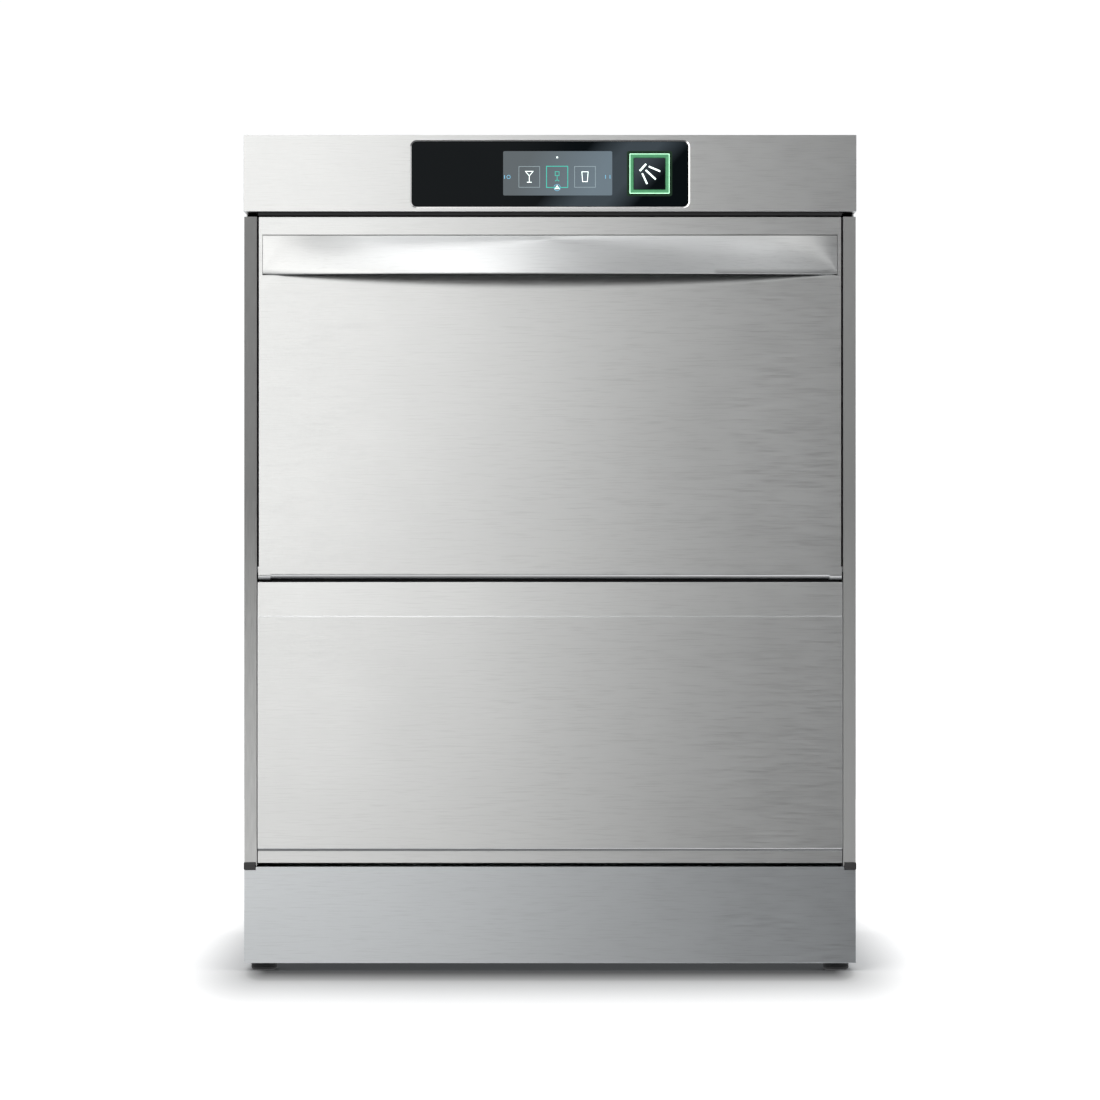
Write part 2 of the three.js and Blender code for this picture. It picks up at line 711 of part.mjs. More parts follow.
// Slim rinse arm, drilled along its length, with three jets on each side.
function rinseArm(jetsUp) {
  const { half, width, thick, bore } = RINSE_ARM;
  const hub = rod('z', bore + 6, [0, thick], [0, 0], 24);
  const body = prism(armOutline(half, width), 'z', [0, thick]);
  const jets = [];
  for (const side of [-1, 1]) {
    for (const place of [70, 130, 190]) {
      const z = jetsUp ? [thick / 2, thick + 5] : [-5, thick / 2];
      jets.push(rod('z', 1.6, z, [side * place, 0], 8));
    }
  }
  const drilling = rod('x', 2.2, both(half - 8), [0, thick / 2], 8);
  const bearing = rod('z', bore, [-5, thick + 5], [0, 0], 24);
  return cut(join(body, hub), bearing, drilling, ...jets);
}

function armNut() {
  const bore = rod('z', 8.5, [-5, NUT_THICK + 5], [0, 0], 16);
  return cut(rod('z', 15, [0, NUT_THICK], [0, 0], 12), bore);
}

// Stepped hollow column from the tank floor: a shoulder and a journal for each arm.
function lowerArmColumn() {
  const journalTop = LOWER.rinse - 1;
  const top = LOWER.nut + NUT_THICK - 1;
  return turned([
    [9, 236],
    [15, 236],
    [15, TANK.bottom + WALL + GAP],
    [26, TANK.bottom + WALL + GAP],
    [26, TANK.bottom + 6],
    [16, TANK.bottom + 6],
    [16, LOWER.wash - 3],
    [21, LOWER.wash - 3],
    [21, LOWER.wash - GAP],
    [14, LOWER.wash - GAP],
    [14, journalTop],
    [8, journalTop],
    [8, top],
    [0, top],
    [0, journalTop - 4],
    [9, journalTop - 4],
    [9, 236],
  ]);
}

function upperArmColumn() {
  const ceiling = CHAMBER.ceiling - GAP;
  const journalBottom = UPPER.rinse + RINSE_ARM.thick + 1;
  return turned([
    [7, 784],
    [11, 784],
    [11, ceiling],
    [26, ceiling],
    [26, UPPER.wash + WASH_ARM.thick + GAP],
    [14, UPPER.wash + WASH_ARM.thick + GAP],
    [14, journalBottom],
    [8, journalBottom],
    [8, UPPER.nut + 1],
    [0, UPPER.nut + 1],
    [0, journalBottom + 4],
    [7, journalBottom + 4],
    [7, 784],
  ]);
}

function buildSprayArms() {
  const across = Math.PI / 2;
  add('lower_arm_column', lowerArmColumn(), 'greyPlastic');
  add('lower_wash_arm', washArm(true), 'bluePlastic', machine, [0, 0, LOWER.wash]);
  add('lower_rinse_arm', rinseArm(true), 'whitePlastic', machine, [0, 0, LOWER.rinse], across);
  add('lower_arm_nut', armNut(), 'greyPlastic', machine, [0, 0, LOWER.nut]);
  add('upper_arm_column', upperArmColumn(), 'greyPlastic');
  add('upper_wash_arm', washArm(false), 'bluePlastic', machine, [0, 0, UPPER.wash]);
  add('upper_rinse_arm', rinseArm(false), 'whitePlastic', machine, [0, 0, UPPER.rinse], across);
  add('upper_arm_nut', armNut(), 'greyPlastic', machine, [0, 0, UPPER.nut]);
}

// ---------------------------------------------------------------- pumps, pipes and electrics

const VOLUTE = { radius: 56, z: [202, 242], wall: 4 };
const PIPE = { outer: 12, inner: 10, z: 222 };
const DOSING_Z = 306;
const dosingPlaces = [110, 180];

function pumpVolute() {
  const { radius, z, wall } = VOLUTE;
  const centre = [WASH_PUMP.x, WASH_PUMP.y];
  const spout = (r, to) => rod('y', r, [WASH_PUMP.y, to], [PUMP_OUTLET_X, PIPE.z]);
  const inlet = rod('z', 22, [z[1] - 1, TANK.bottom - GAP], centre);
  return cut(
    join(rod('z', radius, z, centre, 32), inlet, spout(12.5, 139)),
    rod('z', radius - wall, [z[0] + wall, z[1] - wall], centre, 32),
    rod('z', 17, [z[1] - 10, TANK.bottom + 5], centre),
    rod('z', 5.6, [z[0] - 5, z[0] + 10], centre, 12),
    spout(9.5, 145),
  );
}

// Closed wheel with six blades, on the motor's shaft. Its origin is on its axis.
function pumpImpeller() {
  const plate = turned([
    [0, 130],
    [5, 130],
    [5, 208],
    [44, 208],
    [44, 211],
    [8, 214],
    [8, 226],
    [0, 226],
  ]);
  const blades = [];
  for (let k = 0; k < 6; k += 1) {
    blades.push(block([7, 42], [-1.5, 1.5], [210, 228]).rotate([0, 0, 60 * k]));
  }
  return join(plate, ...blades);
}

function pumpMotor() {
  const top = VOLUTE.z[0] - GAP;
  const profile = [[0, 112], [40, 112], [44, 116], [44, 128]];
  for (let z = 130; z < 186; z += 12) {
    profile.push([48, z], [48, z + 5], [45, z + 6], [45, z + 11]);
  }
  profile.push([48, top - 6], [48, top], [0, top]);
  return cut(turned(profile, 20), rod('z', 6, [126, top + 5], [0, 0], 12));
}

// From the pump's outlet one branch feeds the lower column. The riser climbs behind the chamber
// to the upper one.
function washFeedPipe() {
  const main = [
    [PUMP_OUTLET_X, 139.4, PIPE.z],
    [PUMP_OUTLET_X, 232, PIPE.z],
    [PUMP_OUTLET_X, 232, 328],
    [PUMP_OUTLET_X, RISER_Y, 328],
    [PUMP_OUTLET_X, RISER_Y, 797],
    [0, RISER_Y - 60, 797],
    [0, 0, 797],
    [0, 0, 784.4],
  ];
  const branch = [[PUMP_OUTLET_X, 170, PIPE.z], [0, 170, PIPE.z], [0, 0, PIPE.z], [0, 0, 235.6]];
  const pair = (radius) => join(
    tube(new Route(main, 12), radius),
    tube(new Route(branch, 12), radius),
  );
  return cut(pair(PIPE.outer), pair(PIPE.inner));
}

function drainPump() {
  const spout = rod('y', 9, [0, 40], [0, 212], 16);
  const bore = rod('y', 6.5, [0, 45], [0, 212], 16);
  const body = turned([
    [0, 150],
    [22, 150],
    [22, 192],
    [30, 196],
    [30, 232],
    [14, 236],
    [14, TANK.bottom - GAP],
    [0, TANK.bottom - GAP],
  ]);
  return cut(join(body, spout), rod('z', 10, [205, TANK.bottom + 5], [0, 0], 16), bore);
}

function drainHose() {
  const [x, z] = SERVICE.drain;
  const path = new Route([
    [DRAIN.x, DRAIN.y + 40.4, 212],
    [DRAIN.x, DRAIN.y + 75, 212],
    [x, 225, z],
    [x, 288, z],
  ], 20);
  return cut(tube(path, 11.5), tube(path, 9));
}

// Rinse heater: a closed vessel with domed ends, two pipe stubs and the flange of its heating element.
function boiler() {
  const { radius, halfLength } = BOILER;
  const vessel = (r, l) => {
    const profile = [[0, -l]];
    for (let k = 1; k <= 4; k += 1) {
      const a = k * Math.PI / 8;
      profile.push([r * Math.sin(a), -l + 26 * (1 - Math.cos(a))]);
    }
    for (let k = 4; k >= 1; k -= 1) {
      const a = k * Math.PI / 8;
      profile.push([r * Math.sin(a), l - 26 * (1 - Math.cos(a))]);
    }
    profile.push([0, l]);
    return turned(profile, 28).rotate([90, 0, 0]);
  };
  const flange = rod('y', 34, [-halfLength - 8, -halfLength + 8], [0, 0], 24);
  const stubs = (r, top) => [-70, 70].map((y) => rod('z', r, [0, top], [0, y], 14));
  const outside = join(vessel(radius, halfLength), flange, ...stubs(8, radius + 14));
  return cut(outside, vessel(radius - WALL, halfLength - WALL), ...stubs(6, radius + 20));
}

function rinsePump() {
  const body = join(
    rod('y', 27, [30, 105], [0, 0], 20),
    rod('y', 33, [0, 31], [0, 0], 20),
    rod('z', 8, [0, 48], [0, 15], 14),
  );
  return cut(body, rod('z', 6, [10, 50], [0, 15], 14));
}

const RINSE_PUMP = { x: 205, y: 145, z: 165 };
function rinseHose() {
  const top = RINSE_PUMP.z + 48.4;
  const path = new Route([
    [RINSE_PUMP.x, RINSE_PUMP.y + 15, top],
    [RINSE_PUMP.x, RINSE_PUMP.y + 15, 328],
    [RINSE_PUMP.x, RISER_Y, 328],
    [RINSE_PUMP.x, RISER_Y, 786],
    [RINSE_PUMP.x, 0, 786],
    [60, 0, 779],
    [11.4, 0, 779],
  ], 14);
  return tube(path, 4.5, 8);
}

function breakTank() {
  const y = [40, 220];
  const z = [430, 660];
  const outer = block([-296, -266], y, z);
  const hollow = block([-294, -268], [y[0] + 2, y[1] - 2], [z[0] + 2, z[1] - 2]);
  return cut(outer, hollow, block([-288, -274], [y[1] - 60, y[1] - 20], [z[1] - 5, z[1] + 5]));
}

// A peristaltic pump: round head in front of the apron, motor behind it.
function dosingPump() {
  const front = CHAMBER.front - WALL;
  return join(
    rod('y', 23, [front - 17, front - GAP], [0, 0], 28),
    rod('y', 16, [front - 1, front + 44], [0, 0], 20),
    prism(roundedRectangle([-7, 7], [-30, 0], 2), 'y', [front - 12, front - 6]),
  );
}

function inletValve() {
  const [x, z] = SERVICE.water;
  return join(
    rod('y', 13, [RECESS.y - 12, RECESS.y + 24], [x, z], 20),
    block([x - 17, x + 17], [RECESS.y - 44, RECESS.y - WALL - GAP], [z - 14, z + 14]),
    rod('z', 15, [z + 13, z + 50], [x, RECESS.y - 27], 20),
  );
}

function electricsBox() {
  const x = [-275, -60];
  const y = [-234, -172];
  const z = [112, 330];
  const inset = ([low, high]) => [low + SHEET, high - SHEET];
  return cut(
    block(x, y, z),
    block(inset(x), inset(y), inset(z)),
    rod('y', 12, [y[1] - 5, y[1] + 5], [x[0] + 40, z[0] + 40], 16),
  );
}

function cableGland() {
  const [x, z] = SERVICE.gland;
  const body = join(
    rod('y', 10, [RECESS.y - 14, RECESS.y + 20], [x, z], 18),
    rod('y', 14, [RECESS.y + GAP, RECESS.y + 8], [x, z], 6),
    rod('y', 13, [RECESS.y - WALL - 7, RECESS.y - WALL - GAP], [x, z], 6),
  );
  return cut(body, rod('y', 6, [RECESS.y - 20, RECESS.y + 30], [x, z], 14));
}

function buildMachinery() {
  const pumpCentre = [WASH_PUMP.x, WASH_PUMP.y, 0];
  add('pump_volute', pumpVolute(), 'blackPlastic');
  add('pump_impeller', pumpImpeller(), 'greyPlastic', machine, pumpCentre);
  add('pump_motor', pumpMotor(), 'paintedGrey', machine, pumpCentre);
  add('wash_feed_pipe', washFeedPipe(), 'greyPlastic');
  add('drain_pump', drainPump(), 'blackPlastic', machine, [DRAIN.x, DRAIN.y, 0]);
  add('drain_hose', drainHose(), 'rubber');
  add('boiler', boiler(), 'pressedSteel', machine, [BOILER.x, 0, BOILER.z]);
  add('rinse_pump', rinsePump(), 'paintedGrey', machine, [RINSE_PUMP.x, RINSE_PUMP.y, RINSE_PUMP.z]);
  add('rinse_hose', rinseHose(), 'rubber');
  add('break_tank', breakTank(), 'whitePlastic');
  add('detergent_pump', dosingPump(), 'bluePlastic', machine, [dosingPlaces[0], 0, DOSING_Z]);
  add('rinse_aid_pump', dosingPump(), 'whitePlastic', machine, [dosingPlaces[1], 0, DOSING_Z]);
  add('inlet_valve', inletValve(), 'brass');
  add('electrics_box', electricsBox(), 'pressedSteel');
  add('cable_gland', cableGland(), 'blackPlastic');
}

buildCabinet();
buildDisplay();
buildDoor();
buildChamber();
buildSprayArms();
buildMachinery();

export default machine;
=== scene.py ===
"""Looks for the undercounter glass washer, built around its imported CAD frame. Metres, +Z up, front at -Y."""

import json
import math

import bmesh
import bpy
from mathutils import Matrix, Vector

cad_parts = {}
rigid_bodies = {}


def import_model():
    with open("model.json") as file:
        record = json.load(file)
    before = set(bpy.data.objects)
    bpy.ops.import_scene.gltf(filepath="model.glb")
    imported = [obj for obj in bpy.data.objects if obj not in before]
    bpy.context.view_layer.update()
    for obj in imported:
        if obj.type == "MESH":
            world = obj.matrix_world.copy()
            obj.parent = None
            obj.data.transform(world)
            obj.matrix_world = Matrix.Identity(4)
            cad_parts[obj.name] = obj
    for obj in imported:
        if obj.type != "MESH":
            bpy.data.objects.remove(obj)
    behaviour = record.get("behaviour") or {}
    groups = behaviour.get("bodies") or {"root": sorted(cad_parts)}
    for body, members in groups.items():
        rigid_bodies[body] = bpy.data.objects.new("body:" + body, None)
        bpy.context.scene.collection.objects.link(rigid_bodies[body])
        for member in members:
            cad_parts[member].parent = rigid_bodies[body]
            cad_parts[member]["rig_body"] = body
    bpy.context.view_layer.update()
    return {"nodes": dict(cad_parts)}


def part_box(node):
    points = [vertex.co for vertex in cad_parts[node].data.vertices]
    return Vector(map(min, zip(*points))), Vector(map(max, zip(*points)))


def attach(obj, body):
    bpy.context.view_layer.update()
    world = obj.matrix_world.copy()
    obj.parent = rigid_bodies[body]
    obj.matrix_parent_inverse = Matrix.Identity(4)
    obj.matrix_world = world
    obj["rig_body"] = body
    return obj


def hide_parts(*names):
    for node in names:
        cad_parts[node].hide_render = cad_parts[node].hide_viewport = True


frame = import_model()

# ---------------------------------------------------------------- driving dimensions

MM = 0.001
PHOTO_WIDTH = 1.079  # what the photograph spans at the machine's front
CAMERA_HEIGHT = 0.413
CAMERA_DISTANCE = 5.0  # from the machine's front

LOWER_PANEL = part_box("lower_front_panel")
FACE_Y = LOWER_PANEL[0].y  # the flat front of the door and the lower panel
CREASE_Z = 0.3474  # where the lower panel starts to lean back
LIP_Y = FACE_Y + 3 * MM  # the lower panel's set-back lip
PANEL_SHEET = 1.5 * MM
GLASS_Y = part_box("display_glass")[0].y
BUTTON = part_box("start_button")
BUTTON_X = (BUTTON[0].x + BUTTON[1].x) / 2
BUTTON_Z = (BUTTON[0].z + BUTTON[1].z) / 2
DOOR_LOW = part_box("door_outer_panel")[0].z + 1.2 * MM  # upper face of the door's lower fold
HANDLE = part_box("door_handle")
HANDLE_REACH = FACE_Y - HANDLE[0].y  # how far the grip band bows forward
BACK_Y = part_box("rear_panel")[1].y
SCOOP_HEIGHT, SCOOP_DEPTH = 17 * MM, 5 * MM  # the pressed hollow below the middle of the handle
EDGE = 0.4 * MM  # usual rounding of a folded or cut edge

STEEL = (0.622, 0.632, 0.634)
PLINTH_STEEL = (0.533, 0.556, 0.576)  # a little darker and cooler
INNER_STEEL = (0.66, 0.67, 0.675)
# dark steel parts, and the painted shadow in recesses and gaps
DARK_STEEL_AND_SHADE = (0.24, 0.245, 0.25)


def shade(colour, factor):
    """The colour made lighter or darker, up to white."""
    return tuple(min(c * factor, 1.0) for c in colour)


# ---------------------------------------------------------------- node helper


class Shader:
    """One material under construction, with its Principled shader."""

    def __init__(self, name, **values):
        self.material = bpy.data.materials.new(name)
        self.material.use_nodes = True
        self.tree = self.material.node_tree
        self.tree.nodes.clear()
        self.out = self.tree.nodes.new("ShaderNodeOutputMaterial")
        self.surface = self.node("ShaderNodeBsdfPrincipled")
        self.link(self.surface, "BSDF", self.out, "Surface")
        for key, value in values.items():
            self.set(key.replace("_", " ").title(), value)

    def node(self, kind, **settings):
        made = self.tree.nodes.new(kind)
        for key, value in settings.items():
            setattr(made, key, value)
        return made

    def link(self, source, output, target, socket):
        self.tree.links.new(source.outputs[output], target.inputs[socket])

    def drive(self, socket, source, output):
        self.link(source, output, self.surface, socket)

    def set(self, socket, value):
        if socket.endswith("Color"):
            value = (*value, 1.0)
        names = {"Ior": "IOR", "Specular": "Specular IOR Level"}
        self.surface.inputs[names.get(socket, socket)].default_value = value

    def place(self, stretch=(1, 1, 1)):
        """Object coordinates, scaled."""
        coordinates = self.node("ShaderNodeTexCoord")
        mapping = self.node("ShaderNodeMapping")
        mapping.inputs["Scale"].default_value = stretch
        self.link(coordinates, "Object", mapping, "Vector")
        return mapping

    def noise(self, scale, stretch=(1, 1, 1), detail=3.0):
        noise = self.node("ShaderNodeTexNoise")
        noise.inputs["Scale"].default_value = scale
        noise.inputs["Detail"].default_value = detail
        self.link(self.place(stretch), "Vector", noise, "Vector")
        return noise

    def math(self, operation, first, second, first_output=0):
        """A Math node. second is a number or a (node, output) pair."""
        made = self.node("ShaderNodeMath", operation=operation)
        self.link(first, first_output, made, 0)
        if isinstance(second, tuple):
            self.link(*second, made, 1)
        else:
            made.inputs[1].default_value = second
        return made

    def spread(self, source, low, high, start=0.3, end=0.7, output=0):
        """Maps a value from start..end to low..high."""
        remap = self.node("ShaderNodeMapRange")
        for key, value in (("From Min", start), ("From Max", end), ("To Min", low), ("To Max", high)):
            remap.inputs[key].default_value = value
        self.link(source, output, remap, "Value")
        return remap

    def colours(self, source, dark, light, start=0.3, end=0.7, output=0):
        ramp = self.node("ShaderNodeValToRGB")
        ends = ramp.color_ramp.elements
        ends[0].position, ends[0].color = start, (*dark, 1)
        ends[1].position, ends[1].color = end, (*light, 1)
        self.link(source, output, ramp, "Fac")
        return ramp

    def bump(self, source, distance, strength=1.0, output=0):
        bump = self.node("ShaderNodeBump")
        bump.inputs["Distance"].default_value = distance
        bump.inputs["Strength"].default_value = strength
        self.link(source, output, bump, "Height")
        self.drive("Normal", bump, "Normal")


# ---------------------------------------------------------------- materials


def brushed_steel(name, grain="x", round_axis="Z", tint=STEEL, roughness=0.3):
    """Stainless sheet with a ground finish: short fine lines along one axis, over a faint mottle."""
    shader = Shader(name, metallic=1.0, anisotropic=0.7)
    along = "xyz".index(grain)

    def drawn_out(share):
        return [share if axis == along else 1.0 for axis in range(3)]

    lines = shader.noise(1500, drawn_out(0.03), detail=2)
    strokes = shader.noise(620, drawn_out(0.05))
    mottle = shader.noise(9)
    finish = shader.math("ADD", lines, (strokes, 0))
    ramp = shader.colours(finish, shade(tint, 0.95), shade(tint, 1.05), 0.7, 1.3)
    shader.drive("Base Color", ramp, "Color")
    rough = shader.spread(finish, roughness - 0.03, roughness + 0.03, 0.7, 1.3)
    patchy = shader.math("MULTIPLY", mottle, 0.05)
    shader.drive("Roughness", shader.math("ADD", rough, (patchy, 0)), 0)
    tangent = shader.node("ShaderNodeTangent", direction_type="RADIAL", axis=round_axis)
    shader.drive("Tangent", tangent, "Tangent")
    shader.set("Anisotropic Rotation", 0.0 if grain == "z" else 0.25)
    shader.bump(lines, 0.02 * MM, 0.35)
    return shader.material


def shaded_post_steel(name, top):
    """The narrow front posts: upright grain, and painted shade: a tint that darkens from the bottom towards
    the top, where it reaches top.
    """
    shader = Shader(name, metallic=1.0, anisotropic=0.6)
    split = shader.node("ShaderNodeSeparateXYZ")
    shader.link(shader.place(), "Vector", split, "Vector")
    lines = shader.noise(1500, (1, 1, 0.03), detail=2)
    # painted shade: lightest at 0.1 m, darkest from 0.5 m up
    height = shader.spread(split, 0, 1, 0.1, 0.5, "Z")
    fleck = shader.math("MULTIPLY", lines, 0.2)
    painted_shade = shader.math("ADD", height, (fleck, 0))
    ramp = shader.colours(painted_shade, shade(STEEL, 0.84), shade(STEEL, top), 0.1, 1.0)
    shader.drive("Base Color", ramp, "Color")
    shader.drive("Roughness", shader.spread(lines, 0.3, 0.38), "Result")
    tangent = shader.node("ShaderNodeTangent", direction_type="RADIAL", axis="Z")
    shader.drive("Tangent", tangent, "Tangent")
    shader.bump(lines, 0.02 * MM, 0.35)
    return shader.material


def mill_steel(name, tint=INNER_STEEL, roughness=0.36, metallic=0.75):
    """Metal with a mill finish: faintly cloudy, with no direction."""
    shader = Shader(name, metallic=metallic)
    cloud = shader.noise(24, detail=2)
    grain = shader.noise(1100, detail=2)
    ramp = shader.colours(cloud, shade(tint, 0.95), shade(tint, 1.04))
    shader.drive("Base Color", ramp, "Color")
    shader.drive("Roughness", shader.spread(cloud, roughness - 0.02, roughness + 0.02), "Result")
    shader.bump(grain, 0.02 * MM, 0.3)
    return shader.material


def perforated_steel(name, pitch, hole, axis=None):
    """Sheet with punched holes on a square pitch, drawn as painted shade: near-black discs. axis names the one
    the holes are punched along.
    """
    shader = Shader(name, metallic=0.75)
    stretch = [0.0 if "xyz"[k] == axis else 1 / pitch for k in range(3)]
    cells = shader.node("ShaderNodeTexVoronoi", feature="F1")
    cells.inputs["Scale"].default_value = 1.0
    cells.inputs["Randomness"].default_value = 0.0
    shader.link(shader.place(stretch), "Vector", cells, "Vector")
    share = hole / pitch / 2
    steel = (0.55, 0.56, 0.565)
    # painted shade: near-black holes in place of openings
    ramp = shader.colours(cells, (0.015, 0.015, 0.016), steel, share * 0.92, share, "Distance")
    shader.drive("Base Color", ramp, "Color")
    cloud = shader.noise(40)
    shader.drive("Roughness", shader.spread(cloud, 0.28, 0.42), "Result")
    depth = shader.spread(cells, 0.0, 1.0, share * 0.8, share * 1.15, "Distance")
    shader.bump(depth, 0.3 * MM, 0.8)
    return shader.material


def moulded_plastic(name, colour, roughness=0.45):
    """Moulded plastic with a fine spark-eroded texture."""
    shader = Shader(name)
    speckle = shader.noise(1400, detail=2)
    cloud = shader.noise(60)
    ramp = shader.colours(cloud, shade(colour, 0.88), shade(colour, 1.12))
    shader.drive("Base Color", ramp, "Color")
    shader.drive("Roughness", shader.spread(speckle, roughness - 0.08, roughness + 0.1), "Result")
    shader.bump(speckle, 0.03 * MM, 0.5)
    return shader.material


def painted_metal(name, colour):
    """Enamel paint with a slight orange peel."""
    shader = Shader(name, coat_weight=0.3, coat_roughness=0.2)
    peel = shader.noise(420, detail=1)
    cloud = shader.noise(30)
    ramp = shader.colours(cloud, shade(colour, 0.9), shade(colour, 1.1))
    shader.drive("Base Color", ramp, "Color")
    shader.drive("Roughness", shader.spread(cloud, 0.32, 0.48), "Result")
    shader.bump(peel, 0.06 * MM, 0.5)
    return shader.material


def circuit_board(name):
    """Green solder mask over copper tracks."""
    shader = Shader(name)
    tracks = shader.node("ShaderNodeTexBrick")
    tracks.inputs["Scale"].default_value = 90
    tracks.inputs["Mortar Size"].default_value = 0.03
    tracks.inputs["Color1"].default_value = (0.012, 0.09, 0.035, 1)
    tracks.inputs["Color2"].default_value = (0.014, 0.11, 0.04, 1)
    tracks.inputs["Mortar"].default_value = (0.05, 0.2, 0.08, 1)
    shader.link(shader.place(), "Vector", tracks, "Vector")
    shader.drive("Base Color", tracks, "Color")
    shader.drive("Roughness", shader.spread(shader.noise(200), 0.3, 0.5), "Result")
    return shader.material


def black_glass(name):
    """Glossy black glass, with a painted reflection: a faint grey sheen that runs down across its right half.
    """
    shader = Shader(name, ior=1.5, specular=0.05)
    split = shader.node("ShaderNodeSeparateXYZ")
    shader.link(shader.place(), "Vector", split, "Vector")
    slant = shader.math("MULTIPLY", split, 0.92, "Z")
    across = shader.math("SUBTRACT", split, (slant, 0), "X")
    # painted reflection: a grey sheen between two slanted lines, set by object coordinates
    black, grey = (0.002, 0.0032, 0.004), (0.036, 0.046, 0.054)
    painted_sheen = shader.colours(shader.spread(across, 0, 1, -0.75, -0.58), black, black, 0.26, 0.84)
    for position in (0.48, 0.66):
        painted_sheen.color_ramp.elements.new(position).color = (*grey, 1)
    shader.drive("Base Color", painted_sheen, "Color")
    shader.drive("Roughness", shader.spread(shader.noise(30), 0.04, 0.09), "Result")
    return shader.material


def screen_face(name):
    """A lit display behind glass: grey at the left, bluer and brighter at the right."""
    shader = Shader(name, specular=0.15, roughness=0.2)
    split = shader.node("ShaderNodeSeparateXYZ")
    shader.link(shader.place(), "Vector", split, "Vector")
    slant = shader.math("MULTIPLY", split, 0.5, "Z")
    across = shader.math("SUBTRACT", split, (slant, 0), "X")
    grey, blue = (0.1, 0.115, 0.12), (0.15, 0.2, 0.235)
    ramp = shader.colours(shader.spread(across, 0, 1, -0.44, -0.33), grey, blue, 0.2, 0.9)
    shader.drive("Emission Color", ramp, "Color")
    shader.set("Emission Strength", 0.85)
    shader.set("Base Color", (0.02, 0.025, 0.03))
    shader.drive("Roughness", shader.spread(shader.noise(60), 0.15, 0.25), "Result")
    return shader.material


def glow(name, colour, strength):
    """A lit mark or light guide, slightly uneven."""
    shader = Shader(name, specular=0.2)
    cloud = shader.noise(260, detail=2)
    ramp = shader.colours(cloud, shade(colour, 0.88), colour)
    shader.drive("Base Color", ramp, "Color")
    shader.drive("Emission Color", ramp, "Color")
    shader.drive("Roughness", shader.spread(cloud, 0.3, 0.45), "Result")
    shader.set("Emission Strength", strength)
    return shader.material


LOOKS = {
    "steel": brushed_steel("brushed_steel_across"),
    "steel_side": brushed_steel("brushed_steel_upright", "z", roughness=0.32),
    # painted shade: the posts are darker at the top, the left one more than the right
    "steel_post_left": shaded_post_steel("brushed_steel_post_left", 0.28),
    "steel_post_right": shaded_post_steel("brushed_steel_post_right", 0.48),
    "steel_plinth": brushed_steel("brushed_steel_plinth", tint=PLINTH_STEEL),
    "steel_top": brushed_steel("brushed_steel_top", "x", "Y"),
    "polished": mill_steel("polished_steel", (0.9, 0.9, 0.9), 0.12, 1.0),
    "inner": mill_steel("mill_steel"),
    "dark_steel": mill_steel("dark_steel", DARK_STEEL_AND_SHADE, 0.4),
    # painted shadow: dark steel for recesses and gaps that lie in shade
    "shadow_steel": mill_steel("painted_shadow_steel", DARK_STEEL_AND_SHADE, 0.5),
    "brass": mill_steel("brass", (0.72, 0.52, 0.24), 0.28, 1.0),
    "strainer": perforated_steel("perforated_steel", 6 * MM, 3.2 * MM, "z"),
    "basket": perforated_steel("perforated_basket", 3.2 * MM, 1.8 * MM),
    "glass": black_glass("black_glass"),
    "screen": screen_face("screen_face"),
    "light_rim": glow("light_rim", (0.48, 0.9, 0.6), 0.85),
    "light_band": glow("light_band", (0.055, 0.2, 0.095), 0.7),
    # painted glow on the glass round the start button, also on the frame's back faces
    "light_halo": glow("light_halo", (0.003, 0.016, 0.006), 0.7),
    "mark_white": glow("mark_white", (0.85, 1.0, 0.95), 0.85),
    "mark_grey": glow("mark_grey", (0.24, 0.3, 0.32), 0.75),
    "mark_teal": glow("mark_teal", (0.035, 0.32, 0.25), 0.8),
    "mark_blue": glow("mark_blue", (0.12, 0.33, 0.47), 0.85),
    "black": moulded_plastic("black_plastic", (0.018, 0.018, 0.019)),
    "grey": moulded_plastic("grey_plastic", (0.27, 0.28, 0.29), 0.5),
    "white": moulded_plastic("white_plastic", (0.62, 0.62, 0.6)),
    "blue": moulded_plastic("blue_plastic", (0.03, 0.17, 0.4)),
    "rubber": moulded_plastic("black_rubber", (0.011, 0.011, 0.012), 0.7),
    "circuit": circuit_board("circuit_board"),
    "paint": painted_metal("motor_paint", (0.06, 0.07, 0.08)),
}


# ---------------------------------------------------------------- mesh helpers


def round_edges(obj, width=EDGE, segments=2, angle=32):
    """Rounds the edges between flat faces, and keeps those faces flat."""
    bevel = obj.modifiers.new("edge", "BEVEL")
    bevel.width = width
    bevel.segments = segments
    bevel.limit_method = "ANGLE"
    bevel.angle_limit = math.radians(angle)
    bevel.use_clamp_overlap = True
    obj.modifiers.new("normals", "WEIGHTED_NORMAL").keep_sharp = False


def finish_piece(name, bm, look, body, stands_for=(), edge=EDGE, segments=2):
    """Turns a bmesh into a named piece that rides on a CAD body."""
    bmesh.ops.recalc_face_normals(bm, faces=bm.faces)
    mesh = bpy.data.meshes.new(name)
    bm.to_mesh(mesh)
    bm.free()
    mesh.shade_smooth()
    for each in [look] if isinstance(look, str) else look:
        mesh.materials.append(LOOKS[each])
    obj = bpy.data.objects.new(name, mesh)
    bpy.context.scene.collection.objects.link(obj)
    if edge:
        round_edges(obj, edge, segments)
    else:
        mesh.set_sharp_from_angle(angle=math.radians(35))
    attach(obj, body)
    if stands_for:
        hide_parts(*stands_for)
    return obj


def copy_of(node):
    """The CAD node's mesh as a bmesh of welded, merged flat faces."""
    bm = bmesh.new()
    bm.from_mesh(frame["nodes"][node].data)
    bmesh.ops.remove_doubles(bm, verts=bm.verts, dist=1e-6)
    bmesh.ops.dissolve_limit(
        bm, angle_limit=math.radians(0.4), verts=bm.verts, edges=bm.edges, use_dissolve_boundaries=False
    )
    return bm


